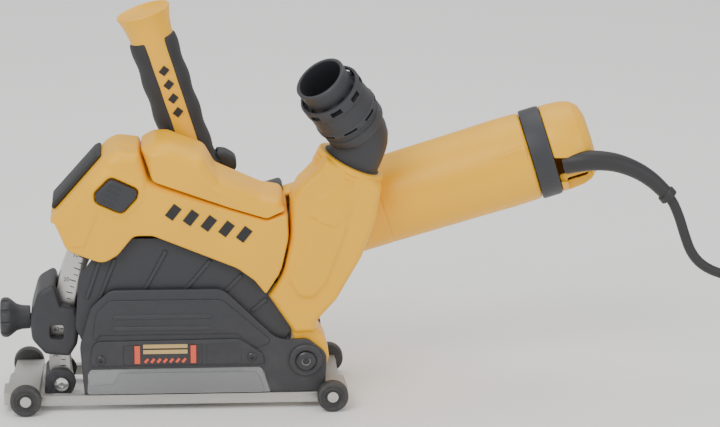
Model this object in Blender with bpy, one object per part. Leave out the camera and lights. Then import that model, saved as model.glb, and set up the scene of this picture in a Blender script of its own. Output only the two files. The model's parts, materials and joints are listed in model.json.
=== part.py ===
"""Wall chaser with two diamond discs, for cutting slots in masonry.

Lengths are in millimetres in this file, and become metres where each mesh is made.
+X points to the motor's tail, -Y to the side with the depth scale, +Z up.
x = 0 is midway between the axles and z = 0 is the floor under the wheels.
"""

import math

import bmesh
import bpy
from mathutils import Matrix, Vector

MM = 0.001
ORIGIN = Vector((95.2, 4.9, 0.0))
GAP = 0.35

# Base
WHEELBASE = 236.0
WHEEL_R = 12.0
WHEEL_W = 9.0
WHEEL_Y = 43.0
AXLE_R = 2.5
SOLE_Z = 5.0
RAIL_TOP = 13.0
CROSS_TOP = 16.0
RAIL_OUT = 37.0
RAIL_IN = 31.0
SKIRT_OUT = -36.0
SKIRT_IN = -33.0

# Head pivot and depth arc
PIVOT_X = 97.5
PIVOT_Z = 39.5
PIVOT_R = 5.0
ARC_R_OUT = 198.0
ARC_R_IN = 182.0
ARC_R_MID = 190.0
ARC_HALF_W = 13.0
ARC_WALL = 2.0
ARC_LOW = -9.5
ARC_HIGH = 38.0
ARC_BOLT_ANGLE = -7.1

# Discs and gears
DISC_R = 75.0
DISC_T = 2.4
SPINDLE_X = 3.5
SPINDLE_Z = 82.0
SPINDLE_R = 6.0
DISC_NEAR_Y = -17.2
DISC_FAR_Y = 2.8
CROWN_TEETH = 33
PINION_TEETH = 9
CROWN_R = 33.0
PINION_R = 7.0

# Motor: its axis starts above the spindle and climbs to the tail
MOTOR_TILT = math.radians(17.0)
MOTOR_FOOT = Vector((SPINDLE_X, 30.0, 98.5))
MOTOR_DIR = Vector((math.cos(MOTOR_TILT), 0.0, math.sin(MOTOR_TILT)))
MOTOR_R = 34.0
MOTOR_WALL = 2.5
NECK_R = 19.0
CASE_R = 38.0
CASE_NEAR_Y = 11.0
CASE_FAR_Y = 44.0
SHAFT_R = 5.0

# Head covers
COVER_NEAR_Y = -40.0
COVER_SPLIT_Y = -13.6
COVER_FAR_Y = 17.0
COVER_WALL = 3.0

# Handle
HANDLE_LEAN = math.radians(17.3)
HANDLE_BASE = Vector((15.0, 30.0, 175.0))
HANDLE_DIR = Vector((-math.sin(HANDLE_LEAN), 0.0, math.cos(HANDLE_LEAN)))
HANDLE_R = 18.0
HANDLE_LEN = 132.0

# Dust port: the elbow turns in the socket, whose axis leans back
SOCKET_MOUTH = Vector((133.5, -12.0, 192.0))
SOCKET_LEAN = math.radians(26.0)
SOCKET_DIR = Vector((math.sin(SOCKET_LEAN), 0.0, math.cos(SOCKET_LEAN)))
ELBOW_RISE = 21.7
ELBOW_POINT = SOCKET_MOUTH + SOCKET_DIR * ELBOW_RISE
PORT_DIR = Vector((-0.517, -0.348, 0.778)).normalized()
PORT_LEN = 67.5
PORT_R = 19.9
PORT_BORE = 17.4
SPIGOT_R = 21.0

# Cord
CORD_R = 4.0
COIL_MID_R = 48.0
COIL_BAND = 32.8
COIL_TOP = 32.5
PLUG_T = 14.0
COIL_CENTRE = (566.0, 12.0)

YELLOW = ("moulded_yellow", (0.93, 0.50, 0.03), 0.42, 0.0)
CHARCOAL = ("charcoal_plastic", (0.035, 0.035, 0.040), 0.55, 0.0)
GRIP = ("soft_grip", (0.030, 0.030, 0.033), 0.75, 0.0)
CAST = ("cast_aluminium", (0.55, 0.54, 0.51), 0.45, 0.9)
STEEL = ("bright_steel", (0.62, 0.61, 0.59), 0.30, 1.0)
DARK_STEEL = ("dark_steel", (0.10, 0.10, 0.11), 0.45, 0.9)
COPPER = ("copper_winding", (0.60, 0.26, 0.12), 0.40, 1.0)
CLEAR = ("clear_window", (0.80, 0.82, 0.82), 0.15, 0.0)
TYRE = ("wheel_rubber", (0.040, 0.040, 0.042), 0.70, 0.0)
CABLE = ("cable_rubber", (0.030, 0.030, 0.032), 0.60, 0.0)
DIAMOND = ("diamond_rim", (0.45, 0.43, 0.40), 0.60, 0.8)


def clear_scene():
    for obj in list(bpy.data.objects):
        bpy.data.objects.remove(obj, do_unlink=True)


def material(finish):
    name, colour, roughness, metallic = finish
    found = bpy.data.materials.get(name)
    if found:
        return found
    made = bpy.data.materials.new(name)
    made.use_nodes = True
    shader = made.node_tree.nodes["Principled BSDF"]
    shader.inputs["Base Color"].default_value = (*colour, 1.0)
    shader.inputs["Roughness"].default_value = roughness
    shader.inputs["Metallic"].default_value = metallic
    return made


def add(name, bm, finish, centre=None):
    """One object from a bmesh in millimetres, with its origin at centre."""
    centre = Vector(centre) if centre is not None else ORIGIN.copy()
    bmesh.ops.recalc_face_normals(bm, faces=bm.faces)
    for vert in bm.verts:
        vert.co = (vert.co - centre) * MM
    mesh = bpy.data.meshes.new(name)
    bm.to_mesh(mesh)
    bm.free()
    mesh.shade_smooth()
    mesh.set_sharp_from_angle(angle=math.radians(30.0))
    mesh.materials.append(material(finish))
    obj = bpy.data.objects.new(name, mesh)
    obj.location = (centre - ORIGIN) * MM
    bpy.context.scene.collection.objects.link(obj)
    return obj


def tool(obj):
    obj.hide_render = True
    obj.display_type = "WIRE"
    return obj


def combine(obj, other, operation):
    tool(other)
    modifier = obj.modifiers.new(other.name, "BOOLEAN")
    modifier.operation = operation
    modifier.solver = "EXACT"
    modifier.object = other
    return obj


def cut(obj, *others):
    for other in others:
        combine(obj, other, "DIFFERENCE")
    return obj


def join(obj, *others):
    for other in others:
        combine(obj, other, "UNION")
    return obj


def rounded(corners, step=22.5):
    """Outline from corners (a, b) or (a, b, radius), with an arc at each radius."""
    out = []
    count = len(corners)
    for i, corner in enumerate(corners):
        here = Vector(corner[:2])
        if len(corner) < 3:
            out.append(here)
            continue
        back = (Vector(corners[i - 1][:2]) - here)
        ahead = (Vector(corners[(i + 1) % count][:2]) - here)
        back_len, ahead_len = back.length, ahead.length
        back.normalize()
        ahead.normalize()
        half = math.acos(max(-1.0, min(1.0, back.dot(ahead)))) / 2
        reach = min(corner[2] / math.tan(half), 0.49 * back_len, 0.49 * ahead_len)
        radius = reach * math.tan(half)
        middle = here + (back + ahead).normalized() * (radius / math.sin(half))
        start = here + back * reach - middle
        sweep = math.pi - 2 * half
        turn = 1 if back.x * ahead.y - back.y * ahead.x < 0 else -1
        parts = max(1, round(math.degrees(sweep) / step))
        for k in range(parts + 1):
            angle = turn * sweep * k / parts
            spin = Matrix.Rotation(angle, 2)
            out.append(middle + spin @ start)
    return [tuple(p) for p in out]


def inset(corners, distance):
    """The same corners moved inwards by distance, for the inside of a shell."""
    points = [Vector(c[:2]) for c in corners]
    count = len(points)
    area = sum(
        points[i].x * points[(i + 1) % count].y - points[(i + 1) % count].x * points[i].y
        for i in range(count)
    )
    side = 1.0 if area > 0 else -1.0
    out = []
    for i, corner in enumerate(corners):
        a = (points[i] - points[i - 1]).normalized()
        b = (points[(i + 1) % count] - points[i]).normalized()
        na = Vector((-a.y, a.x)) * side
        nb = Vector((-b.y, b.x)) * side
        shift = (na + nb) / (1.0 + na.dot(nb)) * distance
        moved = points[i] + shift
        radius = corner[2:] and (max(corner[2] - distance, 0.5),)
        out.append((moved.x, moved.y, *radius))
    return out


def loft(rings):
    """Closed mesh between rings with the same number of points."""
    bm = bmesh.new()
    made = [[bm.verts.new(p) for p in ring] for ring in rings]
    for low, high in zip(made, made[1:]):
        for i in range(len(low)):
            j = (i + 1) % len(low)
            bm.faces.new((low[i], low[j], high[j], high[i]))
    bm.faces.new(made[0])
    bm.faces.new(made[-1])
    return bm


def side_prism(corners, y0, y1):
    """Outline in x and z, drawn out along y."""
    outline = rounded(corners)
    return loft([[(x, y, z) for x, z in outline] for y in (y0, y1)])


def plan_prism(corners, z0, z1):
    """Outline in x and y, drawn out along z."""
    outline = rounded(corners)
    return loft([[(x, y, z) for x, y in outline] for z in (z0, z1)])


def block(low, high):
    corners = [(low[0], low[1]), (high[0], low[1]), (high[0], high[1]), (low[0], high[1])]
    return plan_prism(corners, low[2], high[2])


def frame_of(base, direction):
    """Matrix that puts the local z axis on direction and the origin at base."""
    turn = Vector((0, 0, 1)).rotation_difference(Vector(direction).normalized())
    return Matrix.Translation(base) @ turn.to_matrix().to_4x4()


def turned(profile, base, direction, sides=24):
    """Turned solid. The profile's points (radius, distance along the axis) form a loop."""
    bm = bmesh.new()
    angles = [2 * math.pi * k / sides for k in range(sides)]
    rings = []
    for radius, along in profile:
        if radius == 0:
            rings.append([bm.verts.new((0, 0, along))])
        else:
            rings.append([bm.verts.new((radius * math.cos(a), radius * math.sin(a), along)) for a in angles])
    for low, high in zip(rings, rings[1:] + rings[:1]):
        if len(low) == 1 and len(high) == 1:
            continue
        for i in range(sides):
            j = (i + 1) % sides
            corners = [low[i % len(low)], low[j % len(low)], high[j % len(high)], high[i % len(high)]]
            bm.faces.new(list(dict.fromkeys(corners)))
    bm.transform(frame_of(base, direction))
    return bm


def rod(base, direction, start, end, radius, sides=24):
    return turned([(0, start), (radius, start), (radius, end), (0, end)], base, direction, sides)


def ring(base, direction, start, end, inner, outer, sides=24):
    return turned([(inner, start), (outer, start), (outer, end), (inner, end)], base, direction, sides)


def arc_sector(inner, outer, low, high, y0, y1, step=4.0):
    """Sector about the head pivot. Angles rise from straight ahead."""
    count = max(2, round((high - low) / step))
    outline = []
    for radius, order in ((outer, range(count + 1)), (inner, range(count, -1, -1))):
        for k in order:
            angle = math.radians(low + (high - low) * k / count)
            outline.append((PIVOT_X - radius * math.cos(angle), PIVOT_Z + radius * math.sin(angle)))
    return loft([[(x, y, z) for x, z in outline] for y in (y0, y1)])


Y_AXIS = Vector((0, 1, 0))
PIVOT = Vector((PIVOT_X, 0.0, PIVOT_Z))
SPINDLE = Vector((SPINDLE_X, 0.0, SPINDLE_Z))
AXLES = {"front": -WHEELBASE / 2, "rear": WHEELBASE / 2}


# ---------------------------------------------------------------- base

def base_frame():
    """Cast sole: two rails, and a stepped cross plate at each end, around an open window."""
    length = 124.0
    frame = add("base_frame", block((-length, -RAIL_OUT, SOLE_Z), (length, RAIL_OUT, RAIL_TOP)), CAST)
    window = block((-104.0, -RAIL_IN, -1.0), (104.0, RAIL_IN, RAIL_TOP + 5.0))
    front = [(-135, -37, 2), (-108, -37), (-106, 37), (-127, 37, 2), (-129, 8, 2), (-131, 6), (-132, -14), (-135, -16)]
    rear = [(130, -37, 2), (128, -10, 2), (124, -6), (123, 37, 2), (113.5, 37), (113.5, -37)]
    ends = [
        add("front_plate_stock", plan_prism(front, SOLE_Z + 1, CROSS_TOP), CAST),
        add("rear_plate_stock", plan_prism(rear, SOLE_Z + 1, CROSS_TOP), CAST),
    ]
    join(frame, *ends)
    cut(frame, add("sole_window_cutter", window, CAST))
    for end, x in AXLES.items():
        bore = rod((x, 0, WHEEL_R), Y_AXIS, -60, 60, AXLE_R + GAP, 20)
        cut(frame, add(f"{end}_axle_bore_cutter", bore, CAST))
    return frame


def axles_and_wheels():
    half = WHEEL_W / 2
    recess = 2.0
    head_r = 4.2
    for end, x in AXLES.items():
        centre = Vector((x, 0, WHEEL_R))
        tip = WHEEL_Y + half - recess
        profile = [
            (0, -tip - 1.4), (head_r, -tip - 1.4), (head_r, -tip - 0.2), (AXLE_R, -tip - 0.2),
            (AXLE_R, tip + 0.2), (head_r, tip + 0.2), (head_r, tip + 1.4), (0, tip + 1.4),
        ]
        add(f"{end}_axle", turned(profile, centre, Y_AXIS, 20), STEEL)
        for side, sign in (("near", -1), ("far", 1)):
            outward = Y_AXIS * sign
            bore = AXLE_R + GAP
            wheel = [
                (bore, WHEEL_Y - half), (WHEEL_R - 1.2, WHEEL_Y - half), (WHEEL_R, WHEEL_Y - half + 1.2),
                (WHEEL_R, WHEEL_Y + half - 1.2), (WHEEL_R - 1.2, WHEEL_Y + half),
                (6.8, WHEEL_Y + half), (6.4, WHEEL_Y + half - recess), (bore, WHEEL_Y + half - recess),
            ]
            add(f"{end}_wheel_{side}", turned(wheel, centre, outward, 24), TYRE, centre)


SKIRT = [
    (-73, 13.4), (-76, 53, 12), (-67, 84, 10), (-52, 98, 10), (34, 98, 12), (76, 56, 14), (99, 56, 8),
    (114, 44, 10), (112, 13.4, 2),
]
WINDOW = [(-71, 13.1), (-70, 34.5, 4), (64, 35, 4), (71, 13.1)]
SCREWS = ((-60.0, 42.0), (56.0, 43.0))


def skirt():
    """Fixed side cover of the disc, with a clear strip along the sole."""
    skirt_obj = add("near_skirt", side_prism(SKIRT, SKIRT_OUT, SKIRT_IN), CHARCOAL)
    cut(skirt_obj, add("window_cutter", side_prism(WINDOW, SKIRT_OUT - 5, SKIRT_IN + 5), CLEAR))
    boss = ring(PIVOT, Y_AXIS, SKIRT_OUT - 1.6, SKIRT_OUT + 1.0, PIVOT_R + 1, 13.0, 32)
    join(skirt_obj, add("pivot_boss_stock", boss, CHARCOAL))
    cut(skirt_obj, add("skirt_pivot_cutter", rod(PIVOT, Y_AXIS, -60, 0, PIVOT_R + GAP, 24), CHARCOAL))
    pane = side_prism(inset(WINDOW, GAP), SKIRT_OUT + 0.4, SKIRT_IN - 0.4)
    add("near_window", pane, CLEAR)
    for i, (x, z) in enumerate(SCREWS):
        at = Vector((x, 0, z))
        hole = rod(at, Y_AXIS, SKIRT_OUT - 5, SKIRT_IN + 5, 1.8, 12)
        cut(skirt_obj, add(f"screw_hole_cutter_{i}", hole, CHARCOAL))
        low = SKIRT_OUT - GAP - 1.5
        shape = [(0, low), (3.4, low), (3.4, low + 1.5), (1.4, low + 1.5), (1.4, SKIRT_IN), (0, SKIRT_IN)]
        add(f"skirt_screw_{'front' if x < 0 else 'rear'}", turned(shape, at, Y_AXIS, 16), STEEL)


def far_skirt():
    """Low fence on the far rail, rising to the pivot's far ear."""
    corners = [(-73, 13.4), (-74, 24, 3), (78, 24, 6), (86, 52, 6), (98, 56, 8), (112, 50, 8), (112, 13.4, 2)]
    fence = add("far_skirt", side_prism(corners, 33.0, 36.0), CHARCOAL)
    cut(fence, add("far_pivot_cutter", rod(PIVOT, Y_AXIS, 0, 60, PIVOT_R + GAP, 24), CHARCOAL))


def depth_arc():
    """Bent channel that carries the depth scale, open towards the discs."""
    arc = add("depth_arc", arc_sector(ARC_R_IN, ARC_R_OUT, ARC_LOW, ARC_HIGH, -ARC_HALF_W, ARC_HALF_W), STEEL)
    inner = ARC_HALF_W - ARC_WALL
    trough = arc_sector(ARC_R_IN - 5, ARC_R_OUT - ARC_WALL, ARC_LOW - 4, ARC_HIGH + 4, -inner, inner)
    cut(arc, add("arc_trough_cutter", trough, STEEL))
    angle = math.radians(ARC_BOLT_ANGLE)
    bolt = PIVOT + Vector((-ARC_R_MID * math.cos(angle), 0, ARC_R_MID * math.sin(angle)))
    cut(arc, add("arc_bolt_cutter", rod(bolt, Y_AXIS, -30, 30, 3.4, 20), STEEL))

    cheek = [(-103.6, 6), (-103.6, 21, 2), (-98, 27, 3), (-84, 27, 8), (-79, 17, 8), (-84, 6, 6)]
    foot = add("arc_foot", side_prism(cheek, -17.0, 17.0), CHARCOAL)
    slot = arc_sector(150.0, ARC_R_OUT + 0.5, -30, 20, -ARC_HALF_W - GAP, ARC_HALF_W + GAP)
    cut(foot, add("foot_slot_cutter", slot, CHARCOAL))
    cut(foot, add("foot_bolt_cutter", rod(bolt, Y_AXIS, -30, 30, 3.4, 20), CHARCOAL))
    shape = [(0, -20.8), (5.7, -20.8), (5.7, -17.4), (3.0, -17.4), (3.0, 19.0), (0, 19.0)]
    add("arc_bolt", turned(shape, bolt, Y_AXIS, 20), STEEL)


def pivot_parts():
    head_low = SKIRT_OUT - 1.6 - GAP - 2.6
    seat = head_low + 2.6
    shape = [
        (0, head_low + 1.8), (2.9, head_low + 1.8), (2.9, head_low), (7.5, head_low), (7.5, seat),
        (PIVOT_R, seat), (PIVOT_R, 38.0), (0, 38.0),
    ]
    add("pivot_pin", turned(shape, PIVOT, Y_AXIS, 24), STEEL)
    turns = 4
    steps = 40
    coil_r = 9.0
    pitch = 3.2
    points = []
    for k in range(steps + 1):
        angle = 2 * math.pi * turns * k / steps
        y = -3.0 + pitch * turns * k / steps
        points.append((PIVOT_X + coil_r * math.cos(angle), y, PIVOT_Z + coil_r * math.sin(angle)))
    tube("return_spring", points, 1.1, STEEL, 1)


def tube(name, points, radius, finish, resolution, radii=None):
    curve = bpy.data.curves.new(name, "CURVE")
    curve.dimensions = "3D"
    curve.bevel_depth = radius * MM
    curve.bevel_resolution = resolution
    curve.use_fill_caps = True
    spline = curve.splines.new("POLY")
    spline.points.add(len(points) - 1)
    for i, (spot, point) in enumerate(zip(spline.points, points)):
        spot.co = (*((Vector(point) - ORIGIN) * MM), 1.0)
        spot.radius = radii[i] if radii else 1.0
    curve.materials.append(material(finish))
    obj = bpy.data.objects.new(name, curve)
    bpy.context.scene.collection.objects.link(obj)
    return obj


# ---------------------------------------------------------------- depth stop

STOP = [
    (-95, 100, 3), (-108, 92, 10), (-114, 70, 12), (-113, 54, 8), (-103, 42, 5), (-84, 40, 4), (-78, 50, 6),
    (-75, 72, 4), (-79, 79, 3), (-90, 81),
]
KNOB_Z = 65.0


def depth_stop():
    """Clamp that rides on the arc and stops the head where it is set."""
    stop = add("depth_stop", side_prism(STOP, -24.0, 24.0), CHARCOAL, PIVOT)
    channel = arc_sector(ARC_R_IN - 4, ARC_R_OUT + 0.8, -12, 30, -ARC_HALF_W - 0.8, ARC_HALF_W + 0.8, 3)
    throat = arc_sector(140.0, ARC_R_IN + 2, -12, 30, -19.0, 19.0, 3)
    cut(stop, add("stop_channel_cutter", channel, CHARCOAL), add("stop_throat_cutter", throat, CHARCOAL))
    screw_hole = rod((0, 0, KNOB_Z), (1, 0, 0), -130, -90, 3.4, 20)
    cut(stop, add("stop_screw_cutter", screw_hole, CHARCOAL))
    eye = side_prism([(-99, 55, 1), (-99, 66, 1), (-88, 66, 2), (-89, 54, 2)], -30, -13)
    cut(stop, add("stop_eye_cutter", eye, CHARCOAL))
    base = Vector((0, 0, KNOB_Z))
    shape = [
        (0, -137), (13.5, -137), (15.5, -135), (15.5, -131), (9.5, -122), (9.0, -114.6), (3.0, -114.6),
        (3.0, -101.4), (0, -101.4),
    ]
    add("depth_knob", turned(shape, base, (1, 0, 0), 24), CHARCOAL, (-114.0, 0, KNOB_Z))


# ---------------------------------------------------------------- head covers

TOP = [(-94, 146, 4), (-97, 153, 3), (-53, 203, 7), (-45, 207, 5), (-28.5, 206, 3)]
PARTING = [(-20.5, 184, 6), (40, 162), (68, 153, 4), (84, 159, 3)]
REAR = [(85, 138, 20), (79, 111, 20), (67, 92, 2)]
NEAR_EDGE = [(58, 104, 8), (45, 114, 10), (-19, 141, 8), (-33, 141, 6), (-45, 126, 8), (-57, 119, 10), (-85, 130, 12)]
FAR_EDGE = [(-24, 60, 2), (-58, 60, 6), (-64, 90, 10), (-62, 112), (-69, 123), (-85, 130, 12)]
OPEN_EDGE = [(75, 20), (-120, 20), (-120, 146)]
LATCH = [(-50, 189, 3), (-29.5, 179, 3), (-31, 173, 3), (-42, 161, 3), (-61.5, 170, 3), (-62, 177, 3)]


def covers():
    near = add("near_cover", side_prism(TOP + PARTING + REAR + NEAR_EDGE, COVER_NEAR_Y, COVER_SPLIT_Y), YELLOW)
    inside = inset(TOP[1:] + PARTING + REAR[:2] + OPEN_EDGE, COVER_WALL)
    cut(near, add("near_cover_cutter", side_prism(inside, COVER_NEAR_Y + COVER_WALL, 0.0), YELLOW))
    latch_hole = side_prism(inset(LATCH, -GAP), COVER_NEAR_Y - 5, COVER_NEAR_Y + 6)
    cut(near, add("latch_hole_cutter", latch_hole, YELLOW), dust_inlet("near_cover_inlet_cutter"))

    far = add("far_cover", side_prism(TOP + PARTING + REAR[:2] + FAR_EDGE, COVER_SPLIT_Y + GAP, COVER_FAR_Y), YELLOW)
    inside = inset(TOP[1:] + PARTING + REAR[:2] + OPEN_EDGE, COVER_WALL)
    cut(far, add("far_cover_cutter", side_prism(inside, COVER_SPLIT_Y - 9, COVER_FAR_Y - COVER_WALL), YELLOW))
    cut(far, add("far_cover_case_cutter", rod(SPINDLE, Y_AXIS, 8, 60, CASE_R + 0.6, 48), YELLOW))
    neck = rod(MOTOR_FOOT, MOTOR_DIR, -4, 130, NECK_R + 0.6, 32)
    cut(far, add("far_cover_neck_cutter", neck, YELLOW), handle_room("far_handle_cutter"))
    behind = block((36.0, -20.0, 0.0), (100.0, 30.0, 124.0))
    cut(far, add("far_cover_rear_cutter", behind, YELLOW))

    add("cover_latch", side_prism(LATCH, COVER_NEAR_Y - 2.6, COVER_NEAR_Y + 1.6), CHARCOAL)
    slope = Vector((44, 0, 50)).normalized()
    outward = Vector((-slope.z, 0, slope.x))
    foot = Vector((-93.5, 0, 157.0)) + outward * GAP
    strip = []
    for along, lift in ((0, 0), (0, 2.6), (3, 4), (52, 4), (56, 2.6), (56, 0)):
        spot = foot + slope * along + outward * lift
        strip.append((spot.x, spot.z))
    add("front_pad", loft([[(x, y, z) for x, z in strip] for y in (-17.0, 17.0)]), GRIP)


def disc_chamber(name):
    """Room for both discs to turn in."""
    return add(name, rod(SPINDLE, Y_AXIS, -27.0, 8.0, DISC_R + 2.0, 40), CHARCOAL)


def dust_inlet(name):
    """Opening from the disc chamber into the dust duct."""
    return add(name, block((66.0, -31.0, 100.0), (104.0, -10.0, 128.0)), CHARCOAL)


HUMP_TOP = [(-27.5, 207.5, 2), (-17, 213, 4), (-6, 213, 8), (21, 202, 8), (29, 187, 6), (64, 171, 12), (80, 168, 8)]
HUMP_LOW = [(82, 160.5), (68, 154, 4), (40, 163), (-19.5, 185, 5)]


def hump_cover():
    """Cap over the gear case's top, behind the nose."""
    hump = add("hump_cover", side_prism(HUMP_TOP + HUMP_LOW, -37.0, 11.5), YELLOW)
    low = [(90, 120), (-20, 120)]
    inside = inset(HUMP_TOP + low, COVER_WALL)
    cut(hump, add("hump_cutter", side_prism(inside, -34.0, 8.5), YELLOW))
    cut(hump, handle_room("hump_handle_cutter"))


def handle_room(name):
    """Clearance round the side handle and its boss."""
    return add(name, rod(HANDLE_BASE, HANDLE_DIR, -8, 160, 23.0, 28), YELLOW)


def inner_guard():
    """Plate beside the near disc, which goes down behind the skirt with the head."""
    corners = [(-76, 108, 10), (-52, 138, 8), (50, 138, 8), (62, 104, 6), (66, 90, 6), (75, 66, 6), (70, 46, 6), (-70, 46, 8), (-79, 66, 10)]
    guard = add("inner_guard", side_prism(corners, -30.8, -28.8), CHARCOAL)
    hole = rod(SPINDLE, Y_AXIS, -60, 0, 16.0, 24)
    cut(guard, add("guard_nut_cutter", hole, CHARCOAL))
    rib_feet = [(-11, 125.7, -28, 94.1), (23, 117.6, 2, 94.3), (47, 107.2, 33, 92.8)]
    for i, (x0, z0, x1, z1) in enumerate(rib_feet):
        bar = [(x0 - 2, z0), (x0 + 2, z0), (x1 + 2, z1), (x1 - 2, z1)]
        join(guard, add(f"guard_rib_{i}", side_prism(bar, -31.5, -29.7), CHARCOAL))


DUCT = [
    (68.2, 91.2, 1), (88, 60.5, 2), (105, 61, 2), (107, 70, 5), (122, 87, 12), (141, 121, 20), (152, 152, 20),
    (156, 176, 3), (150, 184, 2), (113, 202, 2), (107, 193, 8), (92, 179, 6), (86.5, 168, 6), (85.7, 138, 20), (79.8, 111, 20),
]
ARM = [(84, 72), (88, 56, 6), (86, 40, 10), (92, 28, 8), (111, 26, 3), (116, 40, 8), (112, 55, 10), (105, 66), (104, 80), (88, 80)]


def head_shell():
    """Dust duct, with its socket at the top and the near pivot arm at the bottom."""
    shell = add("head_shell", side_prism(DUCT, -38.0, -5.0), YELLOW)
    arm = add("near_arm_stock", side_prism(ARM, -32.4, -5.0), YELLOW)
    collar = add("socket_stock", rod(SOCKET_MOUTH, SOCKET_DIR, -24, 0, 26.0, 40), YELLOW)
    join(shell, arm, collar)
    spigot = rod(SOCKET_MOUTH, SOCKET_DIR, -16, 10, SPIGOT_R + 0.5, 40)
    throat = rod((126, -19, 176), Vector((100, -21, 114)) - Vector((126, -19, 176)), -6, 66, 12.0, 24)
    cut(shell, add("spigot_cutter", spigot, YELLOW), add("throat_cutter", throat, YELLOW))
    cut(shell, dust_inlet("shell_inlet_cutter"), disc_chamber("shell_chamber_cutter"))
    cut(shell, add("shell_motor_cutter", rod(MOTOR_FOOT, MOTOR_DIR, 40, 300, MOTOR_R + 0.6, 36), YELLOW))
    cut(shell, add("shell_pivot_cutter", rod(PIVOT, Y_AXIS, -60, 0, PIVOT_R + GAP, 24), YELLOW))


# ---------------------------------------------------------------- gears

def gear_case():
    """Casting around the crown gear, with the neck to the motor and the far pivot arm."""
    case = add("gear_case", rod(SPINDLE, Y_AXIS, CASE_NEAR_Y, CASE_FAR_Y, CASE_R, 40), CAST)
    neck = add("neck_stock", rod(MOTOR_FOOT, MOTOR_DIR, 0, 103, NECK_R, 28), CAST)
    flange = add("neck_flange_stock", rod(MOTOR_FOOT, MOTOR_DIR, 97, 103, MOTOR_R - MOTOR_WALL - GAP, 32), CAST)
    boss_base = HANDLE_BASE - HANDLE_DIR * 62
    boss = add("handle_boss_stock", rod(boss_base, HANDLE_DIR, 0, 60, 12.4, 24), CAST)
    corners = [(40, 96), (82, 103, 4), (102, 62, 10), (112, 42, 8), (106, 27, 8), (90, 27, 8), (80, 50, 8), (38, 74)]
    arm = add("far_arm_stock", side_prism(corners, 12.0, 17.5), CAST)
    join(case, neck, flange, boss, arm)
    cavity = rod(SPINDLE, Y_AXIS, CASE_NEAR_Y - 5, CASE_FAR_Y - 3.5, CASE_R - 3.2, 40)
    bore = rod(MOTOR_FOOT, MOTOR_DIR, 8, 110, 15.6, 24)
    cut(case, add("case_cavity_cutter", cavity, CAST), add("neck_bore_cutter", bore, CAST))
    cut(case, add("far_arm_pivot_cutter", rod(PIVOT, Y_AXIS, 0, 60, PIVOT_R + GAP, 24), CAST))
    cut(case, add("stud_cutter", rod(HANDLE_BASE, HANDLE_DIR, -24, 10, 5.4, 20), CAST))
    plate = [(14.4, 11.4), (CASE_R - 3.6, 11.4), (CASE_R - 3.6, 15.2), (14.4, 15.2)]
    add("bearing_plate", turned(plate, SPINDLE, Y_AXIS, 40), CAST)
    add("spindle_bearing", ring(SPINDLE, Y_AXIS, 11.4, 16.0, SPINDLE_R + GAP, 14.0, 28), STEEL)


def crown_mesh():
    """Face gear: a toothed annulus on a flat back."""
    bm = bmesh.new()
    steps = CROWN_TEETH * 4
    back, root, tip = 16.5, 20.2, 22.5
    rings = [(SPINDLE_R + GAP, back), (CROWN_R, back), (CROWN_R, None), (24.0, None), (SPINDLE_R + GAP, root)]
    made = []
    for radius, height in rings:
        loop = []
        for k in range(steps):
            angle = 2 * math.pi * k / steps
            y = height if height is not None else (tip if k % 4 < 2 else root)
            loop.append(bm.verts.new((radius * math.cos(angle), y, radius * math.sin(angle))))
        made.append(loop)
    for low, high in zip(made, made[1:] + made[:1]):
        for i in range(steps):
            j = (i + 1) % steps
            bm.faces.new((low[i], low[j], high[j], high[i]))
    bmesh.ops.translate(bm, verts=bm.verts, vec=SPINDLE)
    return bm


def toothed(base, direction, start, end, root, tip, teeth, bore=0.0):
    """Bar with straight teeth round it, for the pinion and the fan."""
    outline = []
    for k in range(teeth):
        for part, radius in ((0.0, root), (0.25, tip), (0.5, tip), (0.75, root)):
            angle = 2 * math.pi * (k + part) / teeth
            outline.append((radius * math.cos(angle), radius * math.sin(angle)))
    bm = loft([[(x, y, z) for x, y in outline] for z in (start, end)])
    bm.transform(frame_of(base, direction))
    return bm


def disc_mesh(y0):
    """Diamond disc with keyhole slots between the segments of its rim."""
    segments = 14
    outline = []
    for k in range(segments):
        for part, radius in ((0.03, DISC_R), (0.265, DISC_R), (0.5, DISC_R), (0.735, DISC_R), (0.97, DISC_R), (0.985, 66.0)):
            angle = 2 * math.pi * (k + part) / segments
            outline.append((SPINDLE_X + radius * math.cos(angle), SPINDLE_Z + radius * math.sin(angle)))
    return loft([[(x, y, z) for x, z in outline] for y in (y0, y0 + DISC_T)])


def spindle_parts():
    """Spindle with its discs, spacer, flange and nut, and the crown gear that drives it."""
    shape = [
        (0, -25), (SPINDLE_R - 1, -25), (SPINDLE_R, -24), (SPINDLE_R, 32.0), (0, 32.0),
    ]
    add("spindle", turned(shape, SPINDLE, Y_AXIS, 24), STEEL, SPINDLE)
    add("crown_gear", crown_mesh(), DARK_STEEL, SPINDLE)
    inner = SPINDLE_R + GAP
    add("inner_flange", ring(SPINDLE, Y_AXIS, 5.5, 10.6, inner, 20.0, 28), STEEL, SPINDLE)
    add("disc_spacer", ring(SPINDLE, Y_AXIS, -14.5, 2.5, inner, 20.0, 28), STEEL, SPINDLE)
    nut = [(inner, -23), (10, -23), (13, -21.5), (17, -20), (17, -17.5), (inner, -17.5)]
    add("outer_nut", turned(nut, SPINDLE, Y_AXIS, 28), DARK_STEEL, SPINDLE)
    for name, y0 in (("disc_near", DISC_NEAR_Y), ("disc_far", DISC_FAR_Y)):
        disc = add(name, disc_mesh(y0), DIAMOND, SPINDLE)
        bore = rod(SPINDLE, Y_AXIS, y0 - 5, y0 + 8, inner, 24)
        cut(disc, add(f"{name}_bore_cutter", bore, DIAMOND, SPINDLE))
    add("rear_spindle_bearing", ring(SPINDLE, Y_AXIS, 25, 31.5, inner, 11.0, 24), STEEL)


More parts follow.
